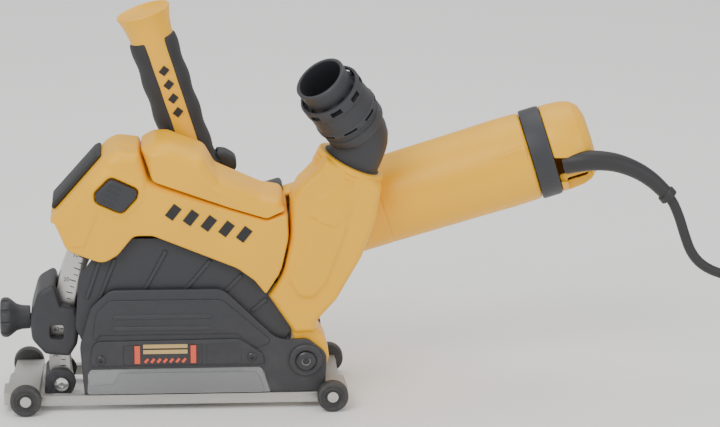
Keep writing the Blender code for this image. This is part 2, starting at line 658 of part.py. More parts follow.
def armature():
    base, axis = MOTOR_FOOT, MOTOR_DIR
    shape = [
        (0, 31.5), (SHAFT_R, 31.5), (SHAFT_R, 240.0), (0, 240.0),
    ]
    add("armature_shaft", turned(shape, base, axis, 20), STEEL, MOTOR_FOOT)
    add("pinion", toothed(base, axis, 17.5, 31.0, 5.0, PINION_R, PINION_TEETH), DARK_STEEL, MOTOR_FOOT)
    bore = SHAFT_R + GAP
    add("rotor_core", ring(base, axis, 128, 186, bore, 19.0, 24), DARK_STEEL, MOTOR_FOOT)
    add("commutator", ring(base, axis, 204, 220, bore, 11.0, 24), COPPER, MOTOR_FOOT)
    fan = add("cooling_fan", toothed(base, axis, 107, 117, 11.0, 28.0, 9), CHARCOAL, MOTOR_FOOT)
    cut(fan, add("fan_bore_cutter", rod(base, axis, 100, 125, bore, 20), CHARCOAL, MOTOR_FOOT))
    add("pinion_bearing", ring(base, axis, 56, 66, bore, 15.2, 24), STEEL)
    add("rear_bearing", ring(base, axis, 230, 238, bore, 12.0, 24), STEEL)
    for side, sign in (("near", -1), ("far", 1)):
        centre = base + axis * 212
        brush = rod(centre, Y_AXIS * sign, 11.6, 26.0, 4.0, 12)
        add(f"brush_{side}", brush, DARK_STEEL)


# ---------------------------------------------------------------- motor

def motor():
    base, axis = MOTOR_FOOT, MOTOR_DIR
    inner = MOTOR_R - MOTOR_WALL
    housing = add("motor_housing", ring(base, axis, 50, 284, inner, MOTOR_R, 36), YELLOW)
    near_side = block((-20, -30, 0), (93.5, COVER_FAR_Y + 1.2, 260))
    cut(housing, add("housing_front_cutter", near_side, YELLOW))
    add("stator_core", ring(base, axis, 126, 188, 20.0, inner - GAP, 28), DARK_STEEL)
    band = [(24, 284.5), (33.6, 284.5), (33.6, 300), (24, 300)]
    add("tail_band", turned(band, base, axis, 32), CHARCOAL)
    cap = [
        (27.5, 300.5), (33.0, 300.5), (32.8, 316), (29.5, 326), (22.0, 332), (0, 333),
        (0, 329.5), (21, 328.5), (27.5, 322),
    ]
    cap_obj = add("tail_cap", turned(cap, base, axis, 32), YELLOW)
    notch = block((290, -20, 168), (350, 10.0, 200))
    cut(cap_obj, add("cap_notch_cutter", notch, YELLOW))
    body = side_prism([(64, 0), (64, 6, 3), (93, 6, 3), (93, 0)], 21.0, 39.0)
    slope = Matrix.Rotation(-MOTOR_TILT, 4, "Y")
    shift = MOTOR_FOOT + Vector((-math.sin(MOTOR_TILT), 0, math.cos(MOTOR_TILT))) * (MOTOR_R + GAP)
    body.transform(Matrix.Translation((shift.x, 0, shift.z)) @ slope)
    add("switch_slider", body, CHARCOAL)


# ---------------------------------------------------------------- handle

def handle():
    base, axis = HANDLE_BASE, HANDLE_DIR
    shape = [
        (0, -20), (5, -20), (5, 0.5), (14, 0.5), (14, HANDLE_LEN - 6), (0, HANDLE_LEN - 6),
    ]
    core = add("handle_core", turned(shape, base, axis, 28), YELLOW)
    grip = [
        (14.35, 1.0), (21.5, 1.0), (22.0, 4.0), (18.5, 9.0), (HANDLE_R - 0.6, 20), (HANDLE_R + 0.4, 70),
        (HANDLE_R, HANDLE_LEN - 16), (20.5, HANDLE_LEN - 9), (20.5, HANDLE_LEN - 2), (17.5, HANDLE_LEN),
        (0, HANDLE_LEN), (0, HANDLE_LEN - 5.5), (14.35, HANDLE_LEN - 5.5),
    ]
    sleeve = add("handle_grip", turned(grip, base, axis, 28), GRIP)
    low, high = 24.0, HANDLE_LEN - 26.0
    across = 7.5
    for target, name, margin, reach in ((sleeve, "stripe_slot", 0.0, 30.0), (core, "stripe_stock", -GAP, 18.6)):
        bar = block((-across - margin, -reach, low - margin), (across + margin, -13.0, high + margin))
        bar.transform(Matrix.Translation(base) @ Matrix.Rotation(-HANDLE_LEAN, 4, "Y"))
        piece = add(name, bar, YELLOW)
        combine(target, piece, "DIFFERENCE" if margin == 0.0 else "UNION")


# ---------------------------------------------------------------- dust port

def dust_port():
    """Elbow that turns in the socket, with a twist ring for the hose on its pipe."""
    elbow = add("dust_elbow", rod(ELBOW_POINT, -SOCKET_DIR, 0, ELBOW_RISE + 14, SPIGOT_R, 32), CHARCOAL, SOCKET_MOUTH)
    ball = bmesh.new()
    bmesh.ops.create_uvsphere(ball, u_segments=32, v_segments=14, radius=SPIGOT_R)
    ball.transform(frame_of(ELBOW_POINT, PORT_DIR))
    pipe = turned([(0, 0), (SPIGOT_R, 0), (SPIGOT_R, 14), (PORT_R, 20), (PORT_R, PORT_LEN), (0, PORT_LEN)], ELBOW_POINT, PORT_DIR, 32)
    join(elbow, add("elbow_ball", ball, CHARCOAL, SOCKET_MOUTH), add("elbow_pipe", pipe, CHARCOAL, SOCKET_MOUTH))
    hollow = bmesh.new()
    bmesh.ops.create_uvsphere(hollow, u_segments=24, v_segments=10, radius=PORT_BORE)
    hollow.transform(frame_of(ELBOW_POINT, PORT_DIR))
    cut(
        elbow,
        add("elbow_bore_low", rod(ELBOW_POINT, -SOCKET_DIR, 0, ELBOW_RISE + 30, PORT_BORE, 24), CHARCOAL, SOCKET_MOUTH),
        add("elbow_bore_high", rod(ELBOW_POINT, PORT_DIR, 0, PORT_LEN + 10, PORT_BORE, 24), CHARCOAL, SOCKET_MOUTH),
        add("elbow_bore_ball", hollow, CHARCOAL, SOCKET_MOUTH),
    )
    sleeve = [(SPIGOT_R + GAP, 12.5), (23.4, 12.5), (24.2, 15), (24.2, 24.6), (PORT_R + GAP, 24.6), (PORT_R + GAP, 20.4), (SPIGOT_R + GAP, 14.4)]
    add("port_sleeve", turned(sleeve, ELBOW_POINT, PORT_DIR, 32), CHARCOAL, SOCKET_MOUTH)
    collar = [
        (PORT_R + GAP, 25.0), (24.6, 25.0), (25.2, 27), (24.0, 48), (25.0, 50), (25.0, 54), (22.8, 54),
        (22.4, 46), (PORT_R + GAP, 46),
    ]
    add("port_ring", turned(collar, ELBOW_POINT, PORT_DIR, 32), CHARCOAL, ELBOW_POINT)


# ---------------------------------------------------------------- cord

RELIEF = [
    (300, 3, 183), (308, 0, 185), (318, -1.5, 186.2), (328, -2, 186), (338, -2, 184.4), (348, -2, 181),
    (358, -2, 176), (367, -2, 169.6), (375, -2, 162), (380.5, -2, 155.8),
]
ROUTE = [
    (381.2, -2, 155.0), (384.5, -2, 149.5), (388.5, -2, 140), (391.5, -2, 131), (394.5, -2, 122), (398.5, -2, 112),
    (405, -2, 103), (414, -2, 96.5), (425, -2, 92), (438, -2.8, 87.5), (450, -4.9, 80.5), (460, -7.8, 70),
    (468, -11.2, 56), (475.5, -14.6, 41), (483.5, -18, 27), (493.5, -22.3, 14.5), (503, -26.3, 8.2), (512, -30.2, 5.6),
]


def smooth(points, spacing):
    """Points along a Catmull-Rom curve through the given ones, evenly spaced."""
    spots = [Vector(p) for p in points]
    spots = [2 * spots[0] - spots[1]] + spots + [2 * spots[-1] - spots[-2]]
    fine = []
    for p0, p1, p2, p3 in zip(spots, spots[1:], spots[2:], spots[3:]):
        for k in range(12):
            t = k / 12
            a = 2 * p1 + (p2 - p0) * t
            b = (2 * p0 - 5 * p1 + 4 * p2 - p3) * t * t
            c = (3 * p1 - p0 - 3 * p2 + p3) * t ** 3
            fine.append((a + b + c) / 2)
    fine.append(spots[-2])
    total = sum((b - a).length for a, b in zip(fine, fine[1:]))
    count = max(2, round(total / spacing))
    out, run, target = [fine[0]], 0.0, total / count
    for a, b in zip(fine, fine[1:]):
        length = (b - a).length
        while run + length >= target * len(out) and len(out) < count:
            out.append(a.lerp(b, (target * len(out) - run) / length))
        run += length
    return out + [fine[-1]]


def cord():
    """Mains cord: strain relief, hanging stretch, the rest in a coil, and its plug."""
    relief = smooth(RELIEF, 6.0)
    last = len(relief) - 1
    radii = [1.0 - 0.36 * k / last for k in range(last + 1)]
    radii[-1] = radii[-2] = 0.95
    tube("strain_relief", relief, 8.4, CABLE, 3, radii)
    tube("power_cord", smooth(ROUTE, 9.0), CORD_R, CABLE, 2)
    x, y = COIL_CENTRE
    low, high = GAP, COIL_TOP
    inner, outer = COIL_MID_R - COIL_BAND / 2, COIL_MID_R + COIL_BAND / 2
    loop = [(inner + 4, low), (outer - 4, low), (outer, low + 4), (outer, high - 4), (outer - 4, high), (inner + 4, high), (inner, high - 4), (inner, low + 4)]
    add("cord_coil", turned(loop, (x, y, 0), (0, 0, 1), 32), CABLE)


def plug():
    """Flat two-pin plug, lying on the coil."""
    x, y = COIL_CENTRE
    at = Vector((x + COIL_MID_R, y, COIL_TOP + GAP + PLUG_T / 2))
    half = PLUG_T / 2
    body = [(-17, 12, 5), (17, 12, 5), (14, -12, 5), (5.5, -24, 2), (-5.5, -24, 2), (-14, -12, 5)]
    shape = plan_prism(body, -half, half)
    bmesh.ops.translate(shape, verts=shape.verts, vec=at)
    made = add("plug", shape, CABLE)
    for side in (-1, 1):
        foot = at + Vector((9.5 * side, 8, 0))
        join(made, add(f"plug_pin_{'left' if side < 0 else 'right'}", rod(foot, Y_AXIS, 0, 23, 2.2, 12), STEEL))


def main():
    clear_scene()
    base_frame()
    axles_and_wheels()
    skirt()
    far_skirt()
    depth_arc()
    pivot_parts()
    depth_stop()
    covers()
    hump_cover()
    inner_guard()
    head_shell()
    gear_case()
    spindle_parts()
    armature()
    motor()
    handle()
    dust_port()
    cord()
    plug()


main()
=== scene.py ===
# %% [markdown]
# # A wall chaser, dressed for a portrait
# The working frame, with every moving body in place, is loaded as it is. This notebook gives it its looks:
# moulded covers with soft corners, a hanging cord, printed and embossed detail, and finishes that show
# plastic grain, handling wear and stone dust. Each cell makes one piece or one finish of the tool.

# %% The frame
import json
import math

import bmesh
import bpy
from mathutils import Matrix, Vector


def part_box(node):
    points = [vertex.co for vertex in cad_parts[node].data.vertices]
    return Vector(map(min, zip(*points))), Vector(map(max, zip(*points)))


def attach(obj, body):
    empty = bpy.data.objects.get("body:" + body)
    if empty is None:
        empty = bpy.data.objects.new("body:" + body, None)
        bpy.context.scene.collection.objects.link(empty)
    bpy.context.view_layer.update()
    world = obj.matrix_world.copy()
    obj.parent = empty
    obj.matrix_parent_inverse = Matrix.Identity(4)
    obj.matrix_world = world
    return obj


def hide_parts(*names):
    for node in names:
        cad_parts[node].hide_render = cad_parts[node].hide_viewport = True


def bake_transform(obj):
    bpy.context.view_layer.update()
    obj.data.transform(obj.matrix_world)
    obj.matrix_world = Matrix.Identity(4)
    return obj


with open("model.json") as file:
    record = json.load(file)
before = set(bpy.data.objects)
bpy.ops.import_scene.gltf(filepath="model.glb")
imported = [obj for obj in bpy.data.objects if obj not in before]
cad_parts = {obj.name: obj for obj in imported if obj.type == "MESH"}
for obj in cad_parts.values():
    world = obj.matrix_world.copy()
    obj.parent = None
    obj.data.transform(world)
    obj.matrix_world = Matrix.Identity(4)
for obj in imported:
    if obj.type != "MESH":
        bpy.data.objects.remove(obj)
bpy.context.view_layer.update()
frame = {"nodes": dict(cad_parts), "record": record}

# %% [markdown]
# A wall chaser is set out from its rolling base, so every place in this notebook is given in millimetres
# from one point: halfway between the two axles, on the floor. `place` turns such a point into the frame's
# metres. The point itself is read from the frame, so that the looks follow the frame and not the reverse.

# %% Where things are measured from
MM = 0.001


def middle_of(node):
    low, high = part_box(node)
    return (Vector(low) + Vector(high)) / 2


HOME = (middle_of("front_axle") + middle_of("rear_axle")) / 2
HOME.z = 0.0


def place(x, y, z):
    """A point in millimetres from HOME, as metres in the frame."""
    return HOME + Vector((x, y, z)) * MM


print("home:", [round(v, 4) for v in HOME])

# %% [markdown]
# The camera stands a little above the tool and almost square to its side, far away with a long lens, which
# keeps the wheels and the cover free of perspective stretch. It is made and aimed before anything else,
# because the length of cord that it can't see has to be coiled just outside its view.

# %% The camera
CAMERA_TURN = math.radians(-3.3)
CAMERA_RISE = math.radians(18.0)
CAMERA_ROLL = math.radians(0.23)
CAMERA_AWAY = 2.702
CAMERA_LENS = 175.1
AIM = place(140.9, 0, 145.4)


def make_camera():
    back = Vector(
        (
            math.sin(CAMERA_TURN) * math.cos(CAMERA_RISE),
            -math.cos(CAMERA_TURN) * math.cos(CAMERA_RISE),
            math.sin(CAMERA_RISE),
        )
    )
    level = Vector((math.cos(CAMERA_TURN), math.sin(CAMERA_TURN), 0))
    upright = back.cross(level)
    right = level * math.cos(CAMERA_ROLL) + upright * math.sin(CAMERA_ROLL)
    up = back.cross(right)
    camera = bpy.data.objects.new("camera", bpy.data.cameras.new("camera"))
    camera.data.lens = CAMERA_LENS
    camera.data.sensor_width = 36.0
    camera.data.clip_end = 20.0
    turn = Matrix((right, up, back)).transposed().to_4x4()
    camera.matrix_world = Matrix.Translation(AIM + back * CAMERA_AWAY) @ turn
    bpy.context.scene.collection.objects.link(camera)
    bpy.context.scene.camera = camera
    return camera


camera = make_camera()
print("camera stands at", [round(v, 3) for v in camera.location])

# %% [markdown]
# Round pieces that follow a line, such as the cord and its strain relief, are tubes. `smooth` draws one
# soft curve through a few chosen points, the way a stiff cable bends, and `sweep` carries a ring along it.
# The ring is turned no more than the curve asks for, so the tube never twists or pinches.

# %% Curves and tubes
def smooth(points, spacing):
    """Evenly spaced points on a soft curve through the given ones."""
    spots = [Vector(p) for p in points]
    spots = [2 * spots[0] - spots[1]] + spots + [2 * spots[-1] - spots[-2]]
    fine = []
    for p0, p1, p2, p3 in zip(spots, spots[1:], spots[2:], spots[3:]):
        for k in range(12):
            t = k / 12
            a = 2 * p1 + (p2 - p0) * t
            b = (2 * p0 - 5 * p1 + 4 * p2 - p3) * t * t
            c = (3 * p1 - p0 - 3 * p2 + p3) * t**3
            fine.append((a + b + c) / 2)
    fine.append(spots[-2])
    total = sum((b - a).length for a, b in zip(fine, fine[1:]))
    count = max(2, round(total / spacing))
    even, run = [fine[0]], 0.0
    for a, b in zip(fine, fine[1:]):
        length = (b - a).length
        while run + length >= total / count * len(even) and len(even) < count:
            even.append(a.lerp(b, (total / count * len(even) - run) / length))
        run += length
    return even + [fine[-1]]


def new_piece(name, bm, smooth_angle=35):
    """An object at the origin from a mesh built in millimetres from HOME."""
    bm.transform(Matrix.Translation(HOME) @ Matrix.Scale(MM, 4))
    mesh = bpy.data.meshes.new(name)
    bm.to_mesh(mesh)
    bm.free()
    if smooth_angle:
        mesh.shade_smooth()
        mesh.set_sharp_from_angle(angle=math.radians(smooth_angle))
    obj = bpy.data.objects.new(name, mesh)
    bpy.context.scene.collection.objects.link(obj)
    return obj


def sweep(path, radii, sides=16):
    """A closed tube along the path, in a new bmesh. radii is one radius for each point."""
    path = [Vector(p) for p in path]
    bm = bmesh.new()
    ahead = (path[1] - path[0]).normalized()
    across = ahead.cross(Vector((0, 1, 0.01))).normalized()
    rings = []
    for k, point in enumerate(path):
        heading = (path[min(k + 1, len(path) - 1)] - path[max(k - 1, 0)]).normalized()
        across = (across - heading * across.dot(heading)).normalized()
        other = heading.cross(across)
        ring = []
        for n in range(sides):
            angle = 2 * math.pi * n / sides
            offset = across * math.cos(angle) + other * math.sin(angle)
            ring.append(bm.verts.new(point + offset * radii[k]))
        rings.append(ring)
    for low, high in zip(rings, rings[1:]):
        for n in range(sides):
            bm.faces.new((low[n], low[(n + 1) % sides], high[(n + 1) % sides], high[n]))
    bm.faces.new(rings[0])
    bm.faces.new(rings[-1])
    bmesh.ops.recalc_face_normals(bm, faces=bm.faces)
    return bm


# %% [markdown]
# The mains lead is four metres of eight millimetre rubber cable. It leaves the tail through a tapered
# relief, hangs in one soft bend, and meets the floor beyond the tool, where the rest lies as a round coil
# of four layers. Each layer is a flat spiral, three turns in or three turns out, so that neighbouring
# turns lie one diameter apart, and the last turn climbs onto the coil to meet the plug.

# %% The cord's line
CORD_D = 8.0
COIL_CENTRE = Vector((566.0, 12.0, 0.0))
COIL_START = math.radians(-113.1)
COIL_INNER = 36.0
COIL_OUTER = 60.0
COIL_TURNS = 12
COIL_FLOOR = 4.4
PLUG_LIFT = 39.8
HANGING = [
    (380.0, -2, 156.4), (381.2, -2, 155.0), (384.5, -2, 149.5), (388.5, -2, 140), (391.5, -2, 131),
    (394.5, -2, 122), (398.5, -2, 112), (405, -2, 103), (414, -2, 96.5), (425, -2, 92), (438, -2.8, 87.5),
    (450, -4.9, 80.5), (460, -7.8, 70), (468, -11.2, 56), (475.5, -14.6, 41), (483.5, -18, 27),
    (493.5, -22.3, 14.5), (503, -26.3, 8.2), (512, -30.2, 5.6), (521, -34, 4.6), (531, -38.3, COIL_FLOOR),
]
LEAD = [(-8, -59.6, 31.2), (5, -60.2, 34.6), (20, -59.2, 36.8), (33.5, -52.5, 38), (43.5, -41.5, 39)]


def coil_turns(points_per_turn=24):
    """The coil's centreline: spirals that run in and out between the inner and outer turns."""
    steps_in = (COIL_OUTER - COIL_INNER) / CORD_D
    line = []
    for k in range(COIL_TURNS * points_per_turn + 1):
        turns = k / points_per_turn
        fold = turns % (2 * steps_in)
        radius = COIL_OUTER - CORD_D * min(fold, 2 * steps_in - fold)
        layer = round(turns / steps_in)
        climb = min(max((turns - layer * steps_in) * 4 + 0.5, 0.0), 1.0)
        climb = climb * climb * (3 - 2 * climb)
        level = (layer - 1 + climb) if 0 < layer < COIL_TURNS / steps_in else min(layer, 3)
        angle = COIL_START + 2 * math.pi * turns
        spot = COIL_CENTRE + Vector((math.cos(angle), math.sin(angle), 0)) * radius
        line.append((spot.x, spot.y, COIL_FLOOR + CORD_D * level))
    return line


lead = [tuple(COIL_CENTRE + Vector(p)) for p in LEAD]
plug_tail = tuple(COIL_CENTRE + Vector((48, -24, PLUG_LIFT)))
cord_line = smooth(HANGING + coil_turns() + lead + [plug_tail], 4.0)
cord_path = [place(*p) for p in cord_line]
cord_length = sum((b - a).length for a, b in zip(cord_path, cord_path[1:]))
print("cord:", round(cord_length, 3), "m in", len(cord_path), "points")

# %% [markdown]
# The line becomes one round cord, swept along all its points. It stands for the solid cord and for the solid
# coil.

# %% The cord itself
power_lead = new_piece("power_lead", sweep(cord_line, [CORD_D / 2] * len(cord_line), 12))
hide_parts("power_cord", "cord_coil")
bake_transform(power_lead)

# %% [markdown]
# The studio is plain: a pale floor, a pale world that fills the shadows, one broad light high on the left
# for the soft highlights on the covers, and a weaker one on the right.

# %% The studio
def area_light(name, spot, power, size):
    light = bpy.data.lights.new(name, "AREA")
    light.energy = power
    light.size = size
    obj = bpy.data.objects.new(name, light)
    obj.location = spot
    obj.rotation_euler = (AIM - Vector(spot)).to_track_quat("-Z", "Y").to_euler()
    bpy.context.scene.collection.objects.link(obj)


def make_studio():
    floor = new_piece("studio_floor", slab((-3000, -2500, -2), (3200, 2600, -0.3)), 0)
    pale = bpy.data.materials.new("pale_floor")
    pale.use_nodes = True
    shader = pale.node_tree.nodes["Principled BSDF"]
    shader.inputs["Base Color"].default_value = (0.92, 0.92, 0.91, 1)
    shader.inputs["Roughness"].default_value = 0.8
    floor.data.materials.append(pale)
    world = bpy.data.worlds.new("studio_air")
    world.use_nodes = True
    world.node_tree.nodes["Background"].inputs["Color"].default_value = (1, 1, 1, 1)
    world.node_tree.nodes["Background"].inputs["Strength"].default_value = 0.8
    bpy.context.scene.world = world
    area_light("key", (-0.9, -1.3, 1.7), 24, 1.1)
    area_light("fill", (1.3, -1.2, 0.8), 6, 1.0)
    area_light("top", (0.1, 0.5, 1.6), 9, 1.2)


# %% [markdown]
# Most of the tool's pieces start as an outline with rounded corners, drawn out sideways. `inset` moves an
# outline inwards, so that a prism whose ends use a smaller outline gets the soft edge of a moulding. Turned
# pieces come from a profile spun round an axis, as on a lathe.

# %% Outlines, prisms and turned shapes
ACROSS = Vector((0, 1, 0))


def rounded(corners, like=None):
    """Points of an outline whose corners are (a, b) or (a, b, radius). like sets how many points an arc has."""
    out = []
    count = len(corners)
    for i, corner in enumerate(corners):
        here = Vector(corner[:2])
        if len(corner) < 3:
            out.append(tuple(here))
            continue
        back = Vector(corners[i - 1][:2]) - here
        ahead = Vector(corners[(i + 1) % count][:2]) - here
        half = back.angle(ahead) / 2
        model = like or corners
        first = Vector(model[i - 1][:2]) - Vector(model[i][:2])
        second = Vector(model[(i + 1) % count][:2]) - Vector(model[i][:2])
        parts = max(1, round(math.degrees(math.pi - first.angle(second)) / 15.0))
        reach = min(corner[2] / math.tan(half), 0.49 * back.length, 0.49 * ahead.length)
        radius = reach * math.tan(half)
        back.normalize()
        ahead.normalize()
        middle = here + (back + ahead).normalized() * (radius / math.sin(half))
        turn = 1 if back.x * ahead.y - back.y * ahead.x < 0 else -1
        for k in range(parts + 1):
            spin = Matrix.Rotation(turn * (math.pi - 2 * half) * k / parts, 2)
            out.append(tuple(middle + spin @ (here + back * reach - middle)))
    return out


def inset(corners, by):
    """The same corners moved inwards by one distance, or by one distance for each corner."""
    spots = [Vector(corner[:2]) for corner in corners]
    count = len(spots)
    area = sum(spots[i - 1].x * spots[i].y - spots[i].x * spots[i - 1].y for i in range(count))
    side = 1.0 if area > 0 else -1.0
    moved = []
    for i, corner in enumerate(corners):
        a = (spots[i] - spots[i - 1]).normalized()
        b = (spots[(i + 1) % count] - spots[i]).normalized()
        length = by[i] if isinstance(by, list) else by
        inward = Vector((-a.y - b.y, a.x + b.x)) * side
        spot = spots[i] + inward / max(0.5, 1 + a.dot(b)) * length
        moved.append((spot.x, spot.y, *(max(0.4, r - length) for r in corner[2:])))
    return moved


def loft(rings):
    """A closed body through rings with the same number of points."""
    bm = bmesh.new()
    made = [[bm.verts.new(p) for p in ring] for ring in rings]
    for low, high in zip(made, made[1:]):
        for i in range(len(low)):
            j = (i + 1) % len(low)
            bm.faces.new((low[i], low[j], high[j], high[i]))
    bm.faces.new(made[0])
    bm.faces.new(made[-1])
    bmesh.ops.recalc_face_normals(bm, faces=bm.faces)
    return bm


def prism(corners, *levels):
    """An outline in x and z, drawn along y through levels of (y, how far the outline is drawn in)."""
    rings = []
    for y, by in levels:
        rings.append([(x, y, z) for x, z in rounded(inset(corners, by), corners)])
    return loft(rings)


def soft_prism(corners, near, far, edge=1.5):
    """A prism with its near and far edges rounded."""
    bites = ((0.0, 1.0), (0.13, 0.5), (0.5, 0.13), (1.0, 0.0))
    front = [(near + edge * a, edge * b) for a, b in bites]
    back = [(far - edge * a, edge * b) for a, b in reversed(bites)]
    return prism(corners, *front, *back)


def slab(low, high):
    corners = [(low[0], low[2]), (high[0], low[2]), (high[0], high[2]), (low[0], high[2])]
    return prism(corners, (low[1], 0), (high[1], 0))


def turned(profile, base, direction, sides=64):
    """A body of revolution from a loop of (radius, distance along the axis)."""
    bm = bmesh.new()
    rings = []
    for radius, along in profile:
        if radius == 0:
            rings.append([bm.verts.new((0, 0, along))])
            continue
        angles = [2 * math.pi * k / sides for k in range(sides)]
        rings.append([bm.verts.new((radius * math.cos(a), radius * math.sin(a), along)) for a in angles])
    for low, high in zip(rings, rings[1:] + rings[:1]):
        if len(low) == 1 and len(high) == 1:
            continue
        for i in range(sides):
            j = (i + 1) % sides
            corners = [low[i % len(low)], low[j % len(low)], high[j % len(high)], high[i % len(high)]]
            bm.faces.new(list(dict.fromkeys(corners)))
    turn = Vector((0, 0, 1)).rotation_difference(Vector(direction).normalized())
    bm.transform(Matrix.Translation(base) @ turn.to_matrix().to_4x4())
    bmesh.ops.recalc_face_normals(bm, faces=bm.faces)
    return bm


def rod(base, direction, start, end, radius, sides=48):
    return turned([(0, start), (radius, start), (radius, end), (0, end)], base, direction, sides)


def merged(*bodies):
    """One bmesh that holds several closed bodies."""
    whole = bmesh.new()
    for body in bodies:
        mesh = bpy.data.meshes.new("stock")
        body.to_mesh(mesh)
        body.free()
        whole.from_mesh(mesh)
        bpy.data.meshes.remove(mesh)
    return whole


# %% [markdown]
# A moulded cover has no sharp corner anywhere, because the tool that forms it is polished by hand. `mould`
# copies that: simple solids are cut, melted into one skin with a voxel remesh, and smoothed a few times, so
# every inner and outer corner gets its own small fillet. `soften` serves castings and pressed parts: it
# copies a piece of the frame, merges its flat faces and gives it a fine machined bevel.

# %% Moulding and softening
def settled(obj, name):
    """The object with its modifiers applied, as a new object; the old one is removed."""
    graph = bpy.context.evaluated_depsgraph_get()
    mesh = bpy.data.meshes.new_from_object(obj.evaluated_get(graph))
    materials = [slot.material for slot in obj.material_slots]
    bpy.data.objects.remove(obj)
    mesh.name = name
    made = bpy.data.objects.new(name, mesh)
    bpy.context.scene.collection.objects.link(made)
    if materials and not mesh.materials:
        for entry in materials:
            mesh.materials.append(entry)
    return made


def mould(name, solids, cuts=(), cell=1.0, melt=6):
    cutters = [new_piece(f"{name}_cutter", cut, 0) for cut in cuts]
    stocks = []
    for solid in solids:
        stock = new_piece(f"{name}_stock", solid, 0)
        for cutter in cutters:
            step = stock.modifiers.new("cut", "BOOLEAN")
            step.operation = "DIFFERENCE"
            step.object = cutter
        stocks.append(settled(stock, f"{name}_cut"))
    whole = bmesh.new()
    for stock in stocks:
        whole.from_mesh(stock.data)
    for used in cutters + stocks:
        bpy.data.objects.remove(used)
    mesh = bpy.data.meshes.new(name)
    whole.to_mesh(mesh)
    whole.free()
    obj = bpy.data.objects.new(name, mesh)
    bpy.context.scene.collection.objects.link(obj)
    skin = obj.modifiers.new("skin", "REMESH")
    skin.mode = "VOXEL"
    skin.voxel_size = cell * MM
    polish = obj.modifiers.new("polish", "SMOOTH")
    polish.iterations = melt
    polish.factor = 0.5
    made = settled(obj, name)
    made.data.shade_smooth()
    print(f"{name}: {len(made.data.polygons)} faces")
    return made


def soften(node, width=0.5, name=None):
    bm = bmesh.new()
    bm.from_mesh(frame["nodes"][node].data)
    bmesh.ops.remove_doubles(bm, verts=bm.verts, dist=2e-6)
    flat = math.radians(2)
    bmesh.ops.dissolve_limit(bm, angle_limit=flat, verts=bm.verts, edges=bm.edges)
    mesh = bpy.data.meshes.new(node)
    bm.to_mesh(mesh)
    bm.free()
    obj = bpy.data.objects.new(node, mesh)
    bpy.context.scene.collection.objects.link(obj)
    bevel = obj.modifiers.new("bevel", "BEVEL")
    bevel.width = width * MM
    bevel.segments = 2
    bevel.limit_method = "ANGLE"
    bevel.angle_limit = math.radians(32)
    made = settled(obj, name or f"{node}_finished")
    made.data.shade_smooth()
    made.data.set_sharp_from_angle(angle=math.radians(50))
    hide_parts(node)
    return made


# %% [markdown]
# Finishes share three effects, each built once as a shader group. `fine_grain` is the spark texture of a
# moulding tool, `worn_edges` finds the raised edges that hands and bricks rub, and `stone_dust` gathers
# pale powder low on the tool and on faces that look up. A material mixes them in its own strengths.

# %% Shared effects
def new_group(name, inputs, outputs):
    group = bpy.data.node_groups.new(name, "ShaderNodeTree")
    for label, value in inputs:
        group.interface.new_socket(label, in_out="INPUT", socket_type="NodeSocketFloat").default_value = value
    for label in outputs:
        group.interface.new_socket(label, in_out="OUTPUT", socket_type="NodeSocketFloat")
    nodes = group.nodes
    return group, nodes, group.links, nodes.new("NodeGroupInput"), nodes.new("NodeGroupOutput")


def math_node(nodes, links, kind, first, second=None, third=None):
    node = nodes.new("ShaderNodeMath")
    node.operation = kind
    for socket, value in zip(node.inputs, (first, second, third)):
        if value is None:
            continue
        if isinstance(value, (int, float)):
            socket.default_value = value
        else:
            links.new(value, socket)
    return node.outputs[0]


def fine_grain_group():
    group, nodes, links, given, out = new_group(
        "fine_grain", [("Scale", 900.0), ("Cloud Scale", 14.0)], ["Height", "Cloud"]
    )
    where = nodes.new("ShaderNodeTexCoord")
    for label, target in (("Scale", "Height"), ("Cloud Scale", "Cloud")):
        noise = nodes.new("ShaderNodeTexNoise")
        noise.inputs["Detail"].default_value = 3
        links.new(where.outputs["Object"], noise.inputs["Vector"])
        links.new(given.outputs[label], noise.inputs["Scale"])
        links.new(noise.outputs["Fac"], out.inputs[target])
    return group


def worn_edges_group():
    group, nodes, links, given, out = new_group(
        "worn_edges", [("Amount", 0.5), ("Patch Scale", 60.0)], ["Mask"]
    )
    shape = nodes.new("ShaderNodeNewGeometry")
    where = nodes.new("ShaderNodeTexCoord")
    patches = nodes.new("ShaderNodeTexNoise")
    links.new(where.outputs["Object"], patches.inputs["Vector"])
    links.new(given.outputs["Patch Scale"], patches.inputs["Scale"])
    ridge = math_node(nodes, links, "SUBTRACT", shape.outputs["Pointiness"], 0.52)
    ridge = math_node(nodes, links, "MULTIPLY", ridge, 9.0)
    rubbed = math_node(nodes, links, "MULTIPLY", ridge, patches.outputs["Fac"])
    rubbed = math_node(nodes, links, "MULTIPLY", rubbed, given.outputs["Amount"])
    links.new(math_node(nodes, links, "MINIMUM", math_node(nodes, links, "MAXIMUM", rubbed, 0.0), 1.0), out.inputs[0])
    return group


